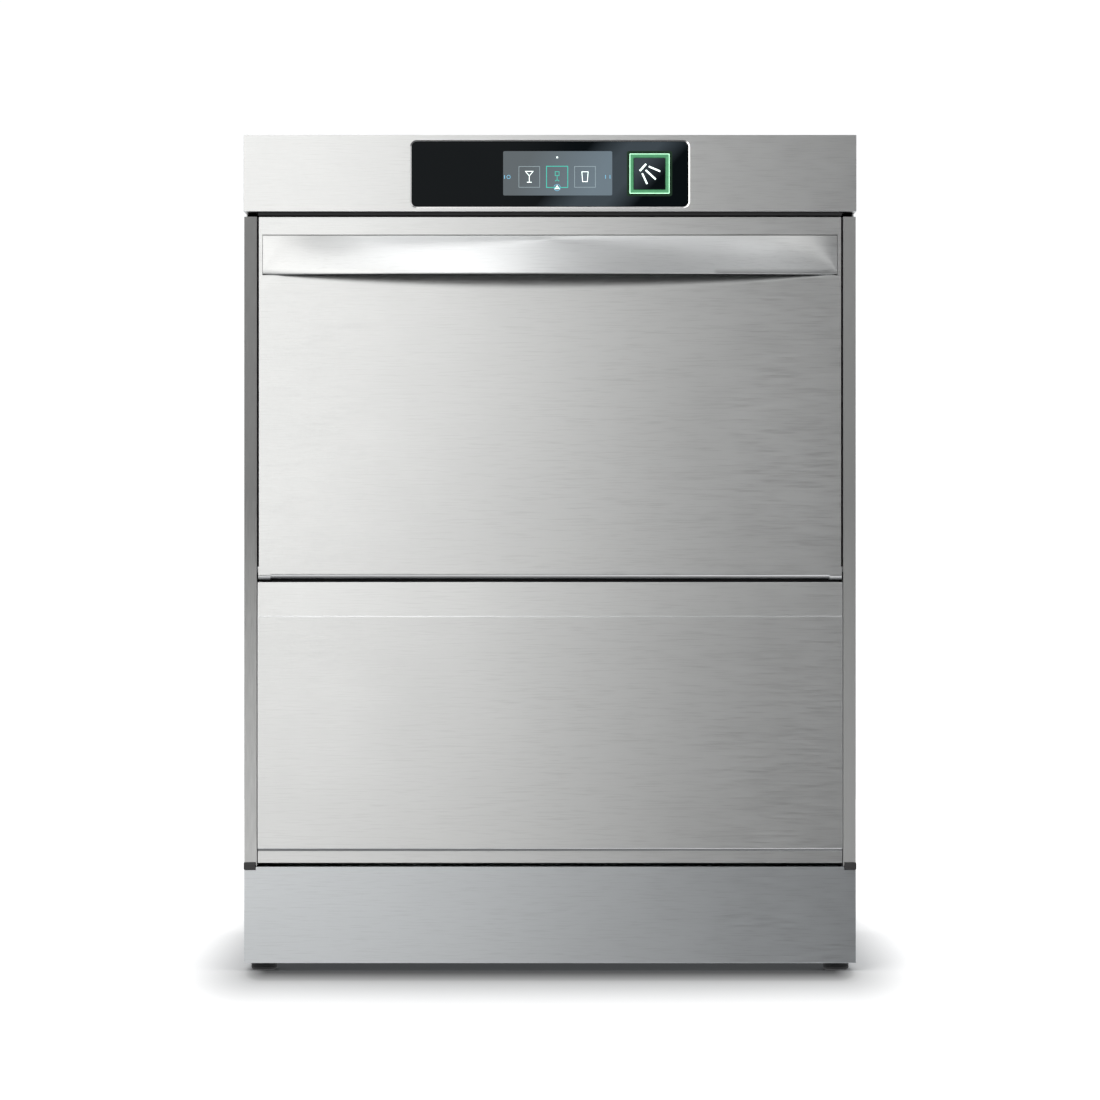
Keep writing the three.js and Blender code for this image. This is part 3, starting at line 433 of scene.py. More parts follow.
def carry_over(node, look, edge=EDGE):
    """Keeps a CAD node, with softened edges and a worked material."""
    obj = frame["nodes"][node]
    mesh = obj.data
    if mesh.has_custom_normals:
        mesh.attributes.remove(mesh.attributes["custom_normal"])
    mesh.materials.clear()
    mesh.materials.append(LOOKS[look])
    mesh.shade_smooth()
    obj.modifiers.new("weld", "WELD").merge_threshold = 1e-6
    flat = obj.modifiers.new("flat", "DECIMATE")
    flat.decimate_type = "DISSOLVE"
    flat.angle_limit = math.radians(0.4)
    round_edges(obj, edge)


def rounded_rectangle(u, v, radius, steps=6):
    """(u, v) points round a rectangle with rounded corners, counter-clockwise."""
    corners = [(u[1], v[1], 0), (u[0], v[1], 1), (u[0], v[0], 2), (u[1], v[0], 3)]
    points = []
    for cu, cv, quarter in corners:
        middle_u = cu - radius if cu == u[1] else cu + radius
        middle_v = cv - radius if cv == v[1] else cv + radius
        for k in range(steps + 1):
            a = (quarter + k / steps) * math.pi / 2
            points.append((middle_u + radius * math.cos(a), middle_v + radius * math.sin(a)))
    return points


def lift(axis, u, v, w):
    """A point from its two plane coordinates and its place along an axis."""
    return {"x": (w, u, v), "y": (u, w, v), "z": (u, v, w)}[axis]


def slab(outline, axis, low, high, bm=None):
    """A prism over an outline, between two places on an axis."""
    bm = bm or bmesh.new()
    ends = [[bm.verts.new(lift(axis, u, v, w)) for u, v in outline] for w in (low, high)]
    for end in ends:
        bm.faces.new(end)
    count = len(outline)
    for k in range(count):
        n = (k + 1) % count
        bm.faces.new((ends[0][k], ends[0][n], ends[1][n], ends[1][k]))
    return bm


def loft(rings, closed=False, bm=None):
    """Skins a list of equal rings of 3-D points. The ends are capped unless the loft is closed."""
    bm = bm or bmesh.new()
    made = [[bm.verts.new(p) for p in ring] for ring in rings]
    count = len(made[0])
    pairs = list(zip(made, made[1:])) + ([(made[-1], made[0])] if closed else [])
    for a, b in pairs:
        for k in range(count):
            n = (k + 1) % count
            bm.faces.new((a[k], a[n], b[n], b[k]))
    if not closed:
        bm.faces.new(made[0])
        bm.faces.new(made[-1])
    return bm


def turned(profile, centre, axis="z", sides=40, bm=None):
    """A solid of revolution from (radius, height) points. centre holds the axis's place."""
    rings = []
    for k in range(sides):
        a = 2 * math.pi * k / sides
        ring = [lift(axis, centre[0] + r * math.cos(a), centre[1] + r * math.sin(a), h) for r, h in profile]
        rings.append(ring)
    return loft(rings, closed=True, bm=bm)


def ribbon(points, width, y_front, y_back, closed=False, bm=None):
    """A flat band along points in the XZ plane, with mitred corners."""
    bm = bm or bmesh.new()
    count = len(points)
    left, right = [], []
    for k, (x, z) in enumerate(points):
        before = points[k - 1] if closed or k else None
        after = points[(k + 1) % count] if closed or k < count - 1 else None
        sides = []
        for a, b in ((before, (x, z)), ((x, z), after)):
            if a and b:
                along = Vector((b[0] - a[0], b[1] - a[1])).normalized()
                sides.append(Vector((-along.y, along.x)))
        out = sum(sides, Vector((0, 0))).normalized()
        reach = width / 2 / max(out.dot(sides[0]), 0.35)
        left.append((x + out.x * reach, z + out.y * reach))
        right.append((x - out.x * reach, z - out.y * reach))
    rings = []
    for (lx, lz), (rx, rz) in zip(left, right):
        rings.append([(lx, y_front, lz), (rx, y_front, rz), (rx, y_back, rz), (lx, y_back, lz)])
    return loft(rings, closed, bm)


def circle(x, z, radius, sides=28):
    """(x, z) points round a circle."""
    turn = [2 * math.pi * k / sides for k in range(sides)]
    return [(x + radius * math.cos(a), z + radius * math.sin(a)) for a in turn]


# ---------------------------------------------------------------- door


def press_scoop(bm, sill, half):
    """Presses a lens-shaped hollow into the sheet below the grip opening."""
    levels = [((0, 0, sill - SCOOP_HEIGHT * k / 8), (0, 0, 1)) for k in range(1, 9)]
    columns = [((half * k / 28, 0, 0), (1, 0, 0)) for k in range(-27, 28)]
    for point, normal in levels + columns:
        everything = [*bm.verts, *bm.edges, *bm.faces]
        bmesh.ops.bisect_plane(bm, geom=everything, dist=1e-6, plane_co=point, plane_no=normal)
    for v in bm.verts:
        down = (sill - v.co.z) / SCOOP_HEIGHT
        if -0.001 < down < 1.001 and abs(v.co.x) < half and v.co.y < FACE_Y + 1.5 * MM:
            fall = max(0.01, 1 - (v.co.x / half) ** 2)
            v.co.z = sill - down * SCOOP_HEIGHT * fall
            v.co.y += SCOOP_DEPTH * fall * max(0.0, 1 - down) ** 2


def door_skin():
    """The outer door. The lining of its grip opening and the underside of its lower edge get dark steel:
    painted shadow.
    """
    bm = copy_of("door_outer_panel")
    half = HANDLE[1].x + 0.4 * MM
    press_scoop(bm, HANDLE[0].z - 0.5 * MM, half)
    bm.normal_update()
    middle = Vector((0, FACE_Y + 9 * MM, (HANDLE[0].z + HANDLE[1].z) / 2))
    for face in bm.faces:
        centre = face.calc_center_median()
        off = centre - middle
        inside = abs(off.x) < half and abs(off.y) < 9.5 * MM and abs(off.z) < 28 * MM
        flat = abs(face.normal.x) + abs(face.normal.z) < 0.01 and centre.y < FACE_Y + 2 * MM
        tilted = 0.02 < face.normal.z < 0.98 and centre.y < FACE_Y + 7 * MM
        shaded_lining = inside and not flat and not tilted and face.normal.dot(off) < 0
        shaded_underside = centre.z < DOOR_LOW + 2 * MM and face.normal.z < -0.5
        # painted shadow: dark steel on the grip lining and on the lower edge's underside
        if shaded_lining or shaded_underside:
            face.material_index = 1
    looks = ["steel", "shadow_steel"]
    finish_piece("door_skin", bm, looks, "door", ["door_outer_panel"], 0.5 * MM)


def door_grip():
    """The grip band: straight along the top, bowed forward along the bottom, with a rolled hem."""
    half = HANDLE[1].x
    top, low = HANDLE[1].z, HANDLE[0].z
    thick, hem = 1.8 * MM, 0.9 * MM

    def section(x):
        reach = HANDLE_REACH * (1 - (x / half) ** 2)
        foot_y, foot_z = FACE_Y - reach, low + 1.1 * MM
        band = []
        for k in range(9):
            t = k / 8
            bow = 0.9 * MM * math.sin(math.pi * t) * reach / HANDLE_REACH
            band.append((FACE_Y + (foot_y - FACE_Y) * t - bow, top + (foot_z - top) * t))
        for k in range(1, 6):
            a = math.pi * k / 5
            band.append((foot_y + hem - hem * math.cos(a), foot_z - hem * math.sin(a)))
        inside = [(foot_y + thick, foot_z + 2 * MM), (FACE_Y + thick, top - thick)]
        back = [(FACE_Y + 15 * MM, top - thick), (FACE_Y + 15 * MM, top)]
        return [(x, y, z) for y, z in band + inside + back]

    columns = 120
    bm = loft([section(half * (2 * i / columns - 1)) for i in range(columns + 1)])
    finish_piece("door_grip", bm, "steel", "door", ["door_handle"], edge=0)


def door_gasket():
    """A bulb seal round the opening: a rounded bulb on a flat foot."""
    low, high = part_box("door_seal")
    inset = 6 * MM
    u = (low.x + inset, high.x - inset)
    v = (low.z + inset, high.z - inset)
    outline = rounded_rectangle(u, v, 10 * MM, 8)
    count = len(outline)
    shape = [(-5.6, -2.5), (5.6, -2.5), (5.6, -1.5), (3.0, -1.1), (2.6, 0.9), (1.2, 2.5)]
    shape += [(-1.2, 2.5), (-2.6, 0.9), (-3.0, -1.1), (-5.6, -1.5)]
    centre_y = (low.y + high.y) / 2
    rings = []
    for k, (x, z) in enumerate(outline):
        ax, az = outline[k - 1]
        bx, bz = outline[(k + 1) % count]
        out = Vector((bz - az, ax - bx)).normalized()
        rings.append([(x + out.x * u * MM, centre_y + w * MM, z + out.y * u * MM) for u, w in shape])
    bm = loft(rings, closed=True)
    finish_piece("door_gasket", bm, "rubber", "cabinet", ["door_seal"], edge=0)


def door_spring(name, node):
    """A coil spring round the hinge pin."""
    low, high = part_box(node)
    wire = 1.1 * MM
    radius = (high.y - low.y) / 2 - wire
    centre_y, centre_z = (low.y + high.y) / 2, (low.z + high.z) / 2
    turns, steps = 9, 16
    rings = []
    for k in range(turns * steps + 1):
        a = 2 * math.pi * k / steps
        x = low.x + wire + (high.x - low.x - 2 * wire) * k / (turns * steps)
        out = Vector((0, math.cos(a), math.sin(a)))
        centre = Vector((x, centre_y, centre_z)) + out * radius
        ring = []
        for m in range(8):
            b = 2 * math.pi * m / 8
            ring.append(centre + out * wire * math.cos(b) + Vector((wire * math.sin(b), 0, 0)))
        rings.append(ring)
    body = frame["nodes"][node]["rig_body"]
    finish_piece(name, loft(rings), "dark_steel", body, [node], edge=0)


# ---------------------------------------------------------------- front of the cabinet


def lower_panel_profile():
    """(y, z) points round the lower panel's folded section, outside first and then inside."""
    low, high = LOWER_PANEL
    return [
        (FACE_Y + 14.5 * MM, 376.4 * MM),
        (FACE_Y + 3.2 * MM, high.z - 0.7 * MM),
        (FACE_Y + 2.3 * MM, high.z),
        (FACE_Y + 1.5 * MM, high.z - 0.5 * MM),
        (FACE_Y + 0.75 * MM, CREASE_Z + 0.9 * MM),
        (FACE_Y + 0.1 * MM, CREASE_Z + 0.1 * MM),
        (FACE_Y, CREASE_Z - 0.3 * MM),
        (FACE_Y, 120.8 * MM),
        (FACE_Y + 0.4 * MM, 120 * MM),
        (LIP_Y - 0.5 * MM, 118.3 * MM),
        (LIP_Y, 117.6 * MM),
        (LIP_Y, low.z),
        (LIP_Y + PANEL_SHEET, low.z),
        (LIP_Y + PANEL_SHEET, 119 * MM),
        (FACE_Y + PANEL_SHEET + 0.4 * MM, 121.3 * MM),
        (FACE_Y + PANEL_SHEET + 0.4 * MM, CREASE_Z),
        (FACE_Y + 1.5 * MM + PANEL_SHEET, high.z - 2 * MM),
        (FACE_Y + 14.5 * MM, 375 * MM),
    ]


def lower_panel():
    """The folded lower panel: a leaning top strip, a crisp crease, the flat face and a set-back lip."""
    low, high = LOWER_PANEL
    bm = slab(lower_panel_profile(), "x", low.x, high.x)
    front, back = FACE_Y + 0.7 * MM, FACE_Y + 0.017
    flange = [(front, 0.122), (back, 0.122), (back, CREASE_Z), (front, CREASE_Z)]
    for side in (-1, 1):
        ends = sorted((side * high.x, side * (high.x - PANEL_SHEET)))
        slab(flange, "x", *ends, bm)
    bm.normal_update()
    # painted shadow: the underside of the step below the flat face gets dark steel
    for face in bm.faces:
        step = 117 * MM < face.calc_center_median().z < 119.6 * MM
        if step and face.normal.z < -0.2:
            face.material_index = 1
    looks = ["steel", "shadow_steel"]
    finish_piece("lower_panel", bm, looks, "cabinet", ["lower_front_panel"])


def side_panels():
    """Side sheets with upright grain. Their narrow front posts get a darker steel with painted shade, darker
    towards the top, and darker on the left post than on the right.
    """
    for side in ("left", "right"):
        bm = copy_of(f"side_panel_{side}")
        bm.normal_update()
        for face in bm.faces:
            if face.normal.y < -0.9 and face.calc_center_median().y < -0.27:
                face.material_index = 1
        name, node = f"side_sheet_{side}", f"side_panel_{side}"
        looks = ["steel_side", f"steel_post_{side}"]
        finish_piece(name, bm, looks, "cabinet", [node], 0.9 * MM, 3)


def gap_shade_strips():
    """Black strips in the gaps above and below the door: painted shade, which keeps the gaps black."""
    strips = {
        "fascia_gap_shade": ((-0.2785, -0.2503), (0.7412, 0.7448)),
        "sill_gap_shade": ((-0.262, -0.258), (DOOR_LOW - 10.5 * MM, DOOR_LOW - 0.4 * MM)),
    }
    for name, (depth, height) in strips.items():
        bm = slab(rounded_rectangle(depth, height, 0.6 * MM, 3), "x", -0.2865, 0.2865)
        finish_piece(name, bm, "rubber", "cabinet", edge=0)


def foot_pads():
    """Adjustable feet: a ribbed sole on a threaded stem."""
    for node in ("foot_front_left", "foot_front_right", "foot_back_left", "foot_back_right"):
        low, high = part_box(node)
        centre = ((low.x + high.x) / 2, (low.y + high.y) / 2)
        sole = (high.x - low.x) / 2
        profile = [(0, 0), (sole - 2.4 * MM, 0), (sole - 0.7 * MM, 0.7 * MM), (sole, 2.3 * MM)]
        for k in range(3):
            z = (3.0 + 1.3 * k) * MM
            profile += [(sole, z), (sole - 0.5 * MM, z + 0.4 * MM), (sole, z + 0.8 * MM)]
        profile += [(sole - 0.8 * MM, 7.6 * MM), (4.9 * MM, 7.6 * MM)]
        z = 8.4 * MM
        while z < high.z - 1.2 * MM:
            profile += [(4.9 * MM, z), (4.3 * MM, z + 0.6 * MM)]
            z += 1.2 * MM
        profile += [(4.9 * MM, high.z - 0.6 * MM), (4.2 * MM, high.z), (0, high.z)]
        bm = turned([(max(r, 1e-5), h) for r, h in profile], centre, sides=36)
        body = frame["nodes"][node]["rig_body"]
        finish_piece(node.replace("foot", "sole"), bm, "rubber", body, [node], edge=0)


# ---------------------------------------------------------------- display


def display_screen():
    """The screen's lit face, which shows through the glass."""
    low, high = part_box("touch_screen")
    outline = rounded_rectangle((low.x, high.x), (low.z, high.z), 1.4 * MM)
    bm = slab(outline, "y", GLASS_Y - 0.05 * MM, GLASS_Y + 0.3 * MM)
    finish_piece("screen_face", bm, "screen", "cabinet", ["touch_screen"], edge=0)


def marks(name, look, strokes, body="cabinet", y=None):
    """Pictogram lines. Each stroke is (points in mm, width in mm, closed)."""
    y = GLASS_Y - 0.08 * MM if y is None else y
    bm = bmesh.new()
    for points, width, closed in strokes:
        ribbon([(a * MM, b * MM) for a, b in points], width * MM, y, y + 0.25 * MM, closed, bm)
    finish_piece(name, bm, look, body, edge=0)


def square(x, z, half):
    """(x, z) points round a square."""
    return [(x - half, z - half), (x + half, z - half), (x + half, z + half), (x - half, z + half)]


def display_marks():
    """The screen's icons: two stemmed glasses and a tumbler in tiles, with small marks round them."""
    left, middle, right, row = -20.3, 7.0, 34.3, 778.8
    cocktail = [
        ([(left - 3.7, row + 5.4), (left + 3.7, row + 5.4), (left, row + 0.9)], 0.6, True),
        ([(left, row + 0.9), (left, row - 5.0)], 0.65, False),
        ([(left - 2.3, row - 5.3), (left + 2.3, row - 5.3)], 0.75, False),
    ]
    glass = [(-3.1, 5), (-2.3, -4.7), (2.3, -4.7), (3.1, 5)]
    tumbler = [([(right + a, row + b) for a, b in glass], 0.6, True)]
    dot = [([(middle - 0.8, 797.9), (middle + 0.8, 797.9)], 1.5, False)]
    hood = [([(middle - 1.7, 767.4), (middle + 1.7, 767.4), (middle, 769.9)], 0.9, True)]
    marks("mark_glasses", "mark_white", cocktail + tumbler + dot + hood)
    tiles = [(square(x, row, 10.2), 0.32, True) for x in (left, right)]
    marks("mark_tiles", "mark_grey", tiles)
    goblet = [
        (square(middle, row + 3.2, 1.9), 0.6, True),
        ([(middle, row + 1.2), (middle, row - 3)], 0.6, False),
        ([(middle - 2, row - 4.2), (middle, row - 2.8), (middle + 2, row - 4.2)], 0.7, False),
    ]
    marks("mark_chosen_tile", "mark_teal", [(square(middle, row, 10.4), 0.75, True)] + goblet)
    badge = [(circle(middle, 768.3, 3.1), 0.4, True), (circle(-40.6, 778.7, 1.7, 20), 0.45, True)]
    stubs = [([(-44.6, 777), (-44.6, 780.4)], 0.7, False), ([(54.4, 777), (54.4, 780.6)], 0.6, False)]
    stubs += [([(58.8, 777), (58.8, 780.6)], 0.6, False)]
    marks("mark_badges", "mark_blue", badge + stubs)


def frame_loop(half, y, radius):
    """A rounded square round the start button, at one depth."""
    u = (BUTTON_X - half, BUTTON_X + half)
    v = (BUTTON_Z - half, BUTTON_Z + half)
    return [(x, y, z) for x, z in rounded_rectangle(u, v, radius)]


def light_frame():
    """The lit frame round the start button: a bright outer rim and a darker band that slopes inward."""
    outer, rim, inner = 20.1 * MM, 19.6 * MM, 15.6 * MM
    front, back = GLASS_Y - 0.3 * MM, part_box("button_light_ring")[1].y
    rings = [
        frame_loop(outer, back, 2 * MM),
        frame_loop(outer, front + 0.8 * MM, 2 * MM),
        frame_loop(rim, front + 0.2 * MM, 0.7 * MM),
        frame_loop(rim - 0.1 * MM, front, 0.6 * MM),
        frame_loop(rim - 0.7 * MM, front, 0.5 * MM),
        frame_loop(rim - 0.9 * MM, front + 0.4 * MM, 0.5 * MM),
        frame_loop(inner + 0.4 * MM, front + 1.2 * MM, 0.5 * MM),
        frame_loop(inner, front + 1.8 * MM, 0.4 * MM),
        frame_loop(inner, back, 0.4 * MM),
    ]
    bm = loft(rings, closed=True)
    for face in bm.faces:
        x, y, z = face.calc_center_median()
        reach = max(abs(x - BUTTON_X), abs(z - BUTTON_Z))
        if reach < rim - 0.75 * MM:
            face.material_index = 1
        elif y > front + 0.3 * MM:
            face.material_index = 2
    looks = ["light_rim", "light_band", "light_halo"]
    finish_piece("light_frame", bm, looks, "cabinet", ["button_light_ring"], edge=0)


def light_halo():
    """A painted glow: the faint light that the frame throws on the glass."""
    section = [(22.2, -0.02), (20.2, -0.02), (20.2, 0.2), (22.2, 0.2)]
    rings = [frame_loop(half * MM, GLASS_Y + depth * MM, 2.4 * MM) for half, depth in section]
    bm = loft(rings, closed=True)
    finish_piece("light_halo", bm, "light_halo", "cabinet", edge=0)


def window_edge():
    """The polished lip of the fascia round the glass."""
    low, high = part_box("display_glass")
    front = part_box("fascia")[0].y
    rings = []
    for grow, depth in ((2.0, 0.3), (1.9, 0.0), (1.7, -0.3), (0.35, -0.02), (0.35, 0.5)):
        u = (low.x - grow * MM, high.x + grow * MM)
        v = (low.z - grow * MM, high.z + grow * MM)
        outline = rounded_rectangle(u, v, (5 + grow) * MM)
        rings.append([(x, front + depth * MM, z) for x, z in outline])
    bm = loft(rings, closed=True)
    finish_piece("window_edge", bm, "polished", "cabinet", edge=0)


def start_button():
    """The glass button cap with its spray pictogram: a nozzle bar and three jets."""
    low, high = BUTTON
    cap = rounded_rectangle((low.x, high.x), (low.z, high.z), 1.0 * MM)
    bm = slab(cap, "y", low.y, high.y)
    finish_piece("button_cap", bm, "glass", "button", ["start_button"], 0.3 * MM)
    x, z = BUTTON_X / MM, BUTTON_Z / MM
    strokes = [
        ([(x - 9.6, z + 2.6), (x - 3.4, z + 9.4)], 1.8, False),
        ([(x - 7.2, z + 0.2), (x - 2.4, z - 10.2)], 1.6, False),
        ([(x - 3.8, z + 3.4), (x + 6.0, z - 5.6)], 1.6, False),
        ([(x - 0.8, z + 7.0), (x + 10.4, z + 2.2)], 1.6, False),
    ]
    marks("button_mark", "mark_white", strokes, "button", low.y - 0.06 * MM)


# ---------------------------------------------------------------- fasteners and fittings


def screw(bm, x, z):
    """A pan-head screw on the back, with a dimple in its head."""
    radius = 3.6 * MM
    tall = 0.55 * radius
    profile = [(1e-5, 0), (radius, 0), (radius, 0.25 * tall), (0.86 * radius, 0.66 * tall)]
    profile += [(0.55 * radius, 0.93 * tall), (0.3 * radius, tall)]
    profile += [(0.22 * radius, 0.45 * tall), (1e-5, 0.4 * tall)]
    turned([(r, BACK_Y + h) for r, h in profile], (x, z), "y", 20, bm)


def rear_screws():
    """Fixings of the rear panel and of the side sheets' rear flanges."""
    bm = bmesh.new()
    for side in (-1, 1):
        for z in (0.33, 0.49, 0.65, 0.79):
            screw(bm, side * 0.277, z)
    for x in (-0.13, 0.13):
        screw(bm, x, 0.806)
    finish_piece("rear_screws", bm, "inner", "cabinet", edge=0)


def rear_vents():
    """Two banks of pressed louvres in the rear panel."""
    root, rim = BACK_Y - 0.2 * MM, BACK_Y + 1.6 * MM
    lips, slots = bmesh.new(), bmesh.new()
    for bank in (-0.12, 0.12):
        for row in range(7):
            z = 0.36 + 0.014 * row
            lip = [(root, z + 5 * MM), (rim, z + 0.6 * MM), (rim, z), (root, z)]
            slab(lip, "x", bank - 0.045, bank + 0.045, lips)
            # painted shade: each louvre's mouth is a black slab, in place of an opening
            mouth = rounded_rectangle((bank - 0.043, bank + 0.043), (z - 2.2 * MM, z), 0.9 * MM, 3)
            slab(mouth, "y", BACK_Y - 0.3 * MM, BACK_Y + 0.05 * MM, slots)
    finish_piece("vent_lips", lips, "steel", "cabinet", edge=0.3 * MM)
    finish_piece("vent_slot_shade", slots, "black", "cabinet", edge=0)


# ---------------------------------------------------------------- what is carried over from the CAD

CARRIED = {  # node: (look, rounding in mm)
    "base_tray": ("steel_plinth", 0.55),
    "rear_panel": ("steel", 0.4),
    "top_panel": ("steel_top", 0.5),
    "fascia": ("steel", 0.5),
    "corner_clip_right": ("black", 0.5),
    "corner_clip_left": ("black", 0.5),
    "display_glass": ("glass", 0.5),
    "display_housing": ("black", 0.5),
    "control_board": ("circuit", 0.2),
    "door_inner_panel": ("inner", 0.5),
    "hinge_pin_right": ("dark_steel", 0.4),
    "hinge_pin_left": ("dark_steel", 0.4),
    "hinge_bracket_right": ("inner", 0.6),
    "hinge_bracket_left": ("inner", 0.6),
    "door_switch": ("black", 0.5),
    "wash_chamber": ("inner", 0.6),
    "wash_tank": ("inner", 0.6),
    "tank_heater": ("dark_steel", 0.3),
    "rack_rail_right": ("inner", 0.4),
    "rack_rail_left": ("inner", 0.4),
    "tank_strainer": ("strainer", 0.4),
    "filter_cylinder": ("basket", 0.4),
    "lower_arm_column": ("grey", 0.5),
    "lower_wash_arm": ("blue", 0.8),
    "lower_rinse_arm": ("white", 0.6),
    "lower_arm_nut": ("grey", 0.6),
    "upper_arm_column": ("grey", 0.5),
    "upper_wash_arm": ("blue", 0.8),
    "upper_rinse_arm": ("white", 0.6),
    "upper_arm_nut": ("grey", 0.6),
    "pump_volute": ("black", 0.8),
    "pump_impeller": ("white", 0.3),
    "pump_motor": ("paint", 1.0),
    "wash_feed_pipe": ("grey", 0.5),
    "drain_pump": ("grey", 0.6),
    "drain_hose": ("rubber", 0.3),
    "boiler": ("inner", 0.8),
    "rinse_pump": ("paint", 0.8),
    "rinse_hose": ("rubber", 0.3),
    "break_tank": ("white", 1.5),
    "detergent_pump": ("blue", 0.6),
    "rinse_aid_pump": ("blue", 0.6),
    "inlet_valve": ("brass", 0.4),
    "electrics_box": ("grey", 1.5),
    "cable_gland": ("black", 0.4),
}


# ---------------------------------------------------------------- stage


def area_light(name, place, target, size, radiance, colour):
    """A soft rectangular light whose face has the given radiance. The camera doesn't see it."""
    data = bpy.data.lights.new(name, "AREA")
    data.shape = "RECTANGLE"
    data.size, data.size_y = size
    data.energy = radiance * math.pi * size[0] * size[1]
    data.color = colour
    light = bpy.data.objects.new(name, data)
    light.location = place
    facing = Vector(target) - Vector(place)
    light.rotation_euler = facing.to_track_quat("-Z", "Y").to_euler()
    light.visible_camera = False
    bpy.context.scene.collection.objects.link(light)


class World:
    """The studio's surroundings under construction."""

    def __init__(self):
        self.world = bpy.data.worlds.new("studio")
        self.world.use_nodes = True
        self.tree = self.world.node_tree
        self.tree.nodes.clear()
        self.out = self.tree.nodes.new("ShaderNodeOutputWorld")
        self.path = self.tree.nodes.new("ShaderNodeLightPath")
        coordinates = self.tree.nodes.new("ShaderNodeTexCoord")
        self.direction = self.tree.nodes.new("ShaderNodeSeparateXYZ")
        self.link(coordinates.outputs["Generated"], self.direction.inputs["Vector"])

    def link(self, output, socket):
        self.tree.links.new(output, socket)

    def math(self, operation, *values):
        """A Math node's output. Each value is a number or another node's output."""
        made = self.tree.nodes.new("ShaderNodeMath")
        made.operation = operation
        for socket, value in zip(made.inputs, values):
            if isinstance(value, float):
                socket.default_value = value
            else:
                self.link(value, socket)
        return made.outputs[0]

    def remap(self, source, start, end, low, high):
        """The output of a smooth change from low to high, as source goes from start to end."""
        made = self.tree.nodes.new("ShaderNodeMapRange")
        made.interpolation_type = "SMOOTHSTEP"
        for socket, value in zip(made.inputs[1:5], (start, end, low, high)):
            socket.default_value = value
        self.link(source, made.inputs["Value"])
        return made.outputs["Result"]

    def background(self, strength):
        made = self.tree.nodes.new("ShaderNodeBackground")
        made.inputs["Color"].default_value = (0.985, 0.992, 1, 1)
        made.inputs["Strength"].default_value = strength
        return made

    def choose(self, ray, otherwise, chosen):
        """Shows chosen to one kind of ray, and otherwise to the rest."""
        mix = self.tree.nodes.new("ShaderNodeMixShader")
        self.link(self.path.outputs[ray], mix.inputs["Fac"])
        self.link(otherwise.outputs[0], mix.inputs[1])
        self.link(chosen.outputs[0], mix.inputs[2])
        return mix


def studio_world():
    """White to the camera, an even dome for matt surfaces, and for gloss a pale room, dim in front."""
    sky = World()
    y, z = sky.direction.outputs["Y"], sky.direction.outputs["Z"]
    ahead = sky.math("MULTIPLY_ADD", z, 0.12, y)
    below = sky.remap(z, -0.5, -0.8, 0.0, 0.75)
    sides = sky.remap(ahead, -0.92, -0.7, 0.13, 0.8)
    height = sky.remap(z, 0.4, 0.75, 1.0, 0.55)
    room = sky.math("MULTIPLY", sides, height)
    gloss = sky.background(1.0)
    sky.link(sky.math("ADD", room, below), gloss.inputs["Strength"])
    matt = sky.choose("Is Diffuse Ray", gloss, sky.background(1.1))
    seen = sky.choose("Is Camera Ray", matt, sky.background(1.05))
    sky.link(seen.outputs[0], sky.out.inputs["Surface"])
    bpy.context.scene.world = sky.world


def studio_floor():
    """A round pale floor with a painted soft shadow round the machine's foot, left out of reflections."""
    bm = bmesh.new()
    bmesh.ops.create_circle(bm, cap_ends=True, segments=96, radius=3.2)
    mesh = bpy.data.meshes.new("floor")
    bm.to_mesh(mesh)
    bm.free()
    obj = bpy.data.objects.new("floor", mesh)
    bpy.context.scene.collection.objects.link(obj)
    shader = Shader("pale_floor", roughness=0.9, specular=0.1, emission_color=(1, 1, 1))
    split = shader.node("ShaderNodeSeparateXYZ")
    size = shader.node("ShaderNodeVectorMath", operation="ABSOLUTE")
    shader.link(shader.place(), "Vector", size, 0)
    shader.link(size, "Vector", split, "Vector")
    beside = shader.spread(split, 0, 2, 0.275, 0.465, "X")
    ahead = shader.spread(split, 0, 2, 0.28, 1.28, "Y")
    across = shader.math("MULTIPLY", beside, (beside, 0))
    along = shader.math("MULTIPLY", ahead, (ahead, 0))
    away = shader.math("POWER", shader.math("ADD", across, (along, 0)), 0.5)
    # painted shadow: near-black at the machine's foot, paling to grey further out, where emission then lifts
    # it to white
    ramp = shader.colours(away, (0.11,) * 3, (0.7,) * 3, 0.04, 0.42)
    for distance, grey in ((0.12, 0.245), (0.2, 0.38), (0.25, 0.53), (0.32, 0.62)):
        ramp.color_ramp.elements.new(distance).color = (grey, grey, grey, 1)
    shader.drive("Base Color", ramp, "Color")
    shader.drive("Emission Strength", shader.spread(away, 0.0, 0.5, 0.42, 1.05), "Result")
    shader.drive("Roughness", shader.spread(shader.noise(3), 0.85, 0.95), "Result")
    mesh.materials.append(shader.material)
    obj.visible_glossy = False


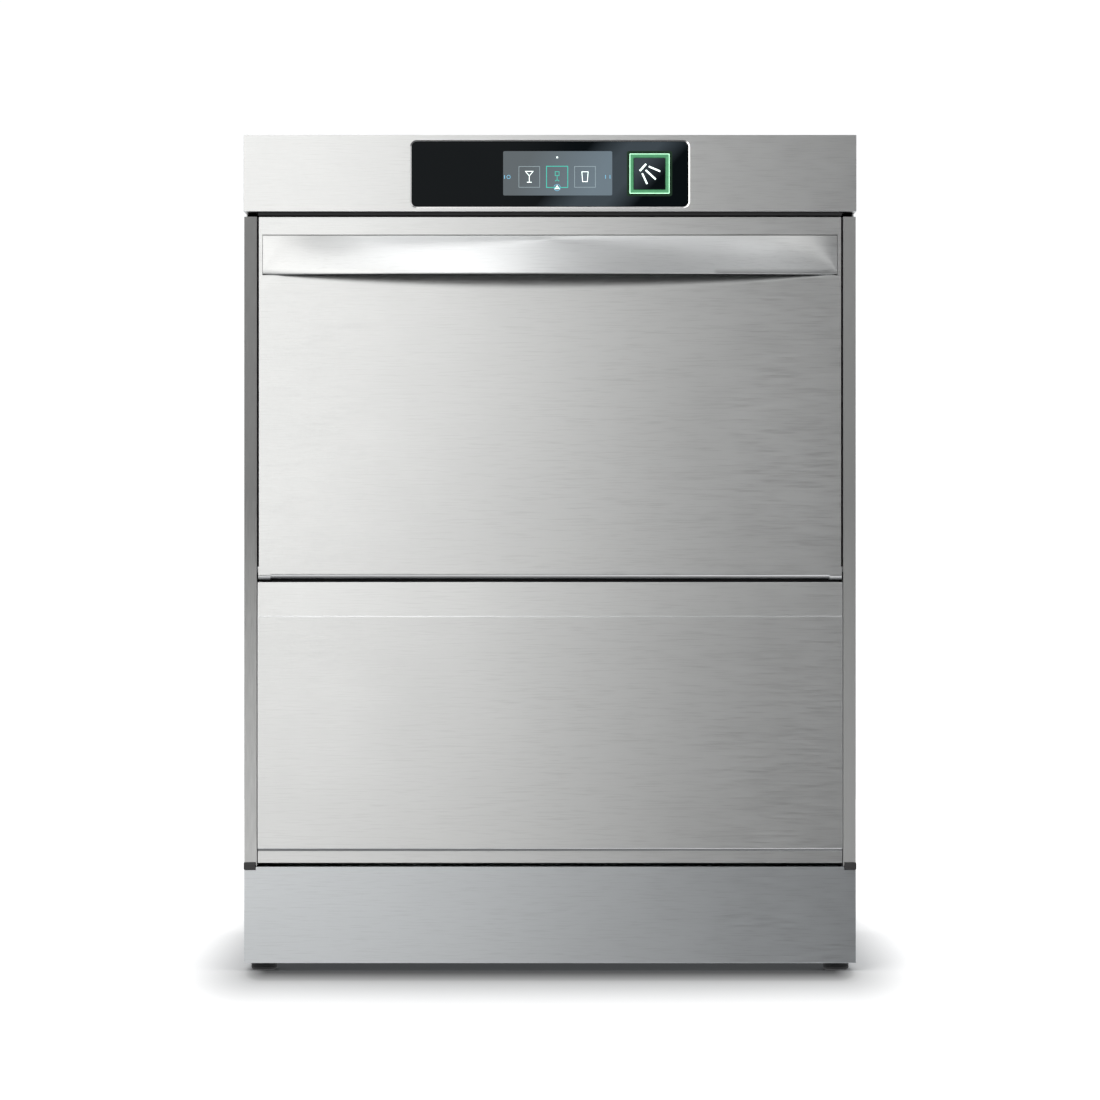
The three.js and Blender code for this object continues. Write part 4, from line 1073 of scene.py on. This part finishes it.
def studio_camera():
    """A long lens, level, square to the front."""
    data = bpy.data.cameras.new("camera")
    data.sensor_width = 36
    data.lens = data.sensor_width * CAMERA_DISTANCE / PHOTO_WIDTH
    obj = bpy.data.objects.new("camera", data)
    obj.location = (0, FACE_Y - CAMERA_DISTANCE, CAMERA_HEIGHT)
    obj.rotation_euler = (math.radians(90), 0, 0)
    bpy.context.scene.collection.objects.link(obj)
    bpy.context.scene.camera = obj


def studio_lights():
    """Large soft cards: bright at the front left, thin overhead, low at the right and behind."""
    warm, neutral = (1.0, 0.985, 0.96), (1.0, 1.0, 1.0)
    area_light("front_left", (-1.75, -6.0, 1.2), (-1.75, 0, 1.2), (3.5, 3.6), 1.85, warm)
    area_light("front_left_high", (-1.75, -6.0, 4.7), (-1.75, 0, 4.7), (3.5, 3.4), 0.8, warm)
    area_light("overhead_left", (-1.9, -1.9, 3.2), (-0.3, -0.3, 0.7), (3.0, 2.0), 0.25, warm)
    area_light("overhead_strip", (-0.3, -1.85, 3.1), (-0.07, -0.3, 0.7), (0.3, 1.6), 3.2, neutral)
    area_light("front_right", (2.0, -6.0, 2.7), (2.0, 0, 2.7), (1.2, 3.6), 0.6, neutral)
    area_light("right_side", (4.5, 0.6, 1.6), (0, 0, 0.5), (2.5, 2.5), 1.0, neutral)
    area_light("left_side", (-4.5, 0.6, 1.6), (0, 0, 0.5), (2.5, 2.5), 1.1, neutral)
    area_light("back", (1.5, 5.0, 1.8), (0, 0, 0.5), (3.0, 2.5), 1.2, neutral)


# ---------------------------------------------------------------- build

door_skin()
door_grip()
door_gasket()
door_spring("hinge_coil_right", "door_spring_right")
door_spring("hinge_coil_left", "door_spring_left")
lower_panel()
side_panels()
gap_shade_strips()
foot_pads()
display_screen()
display_marks()
light_frame()
light_halo()
window_edge()
start_button()
rear_screws()
rear_vents()
for node, (look, edge) in CARRIED.items():
    carry_over(node, look, edge * MM)

studio_world()
studio_floor()
studio_camera()
studio_lights()
bpy.context.scene.view_settings.view_transform = "Standard"
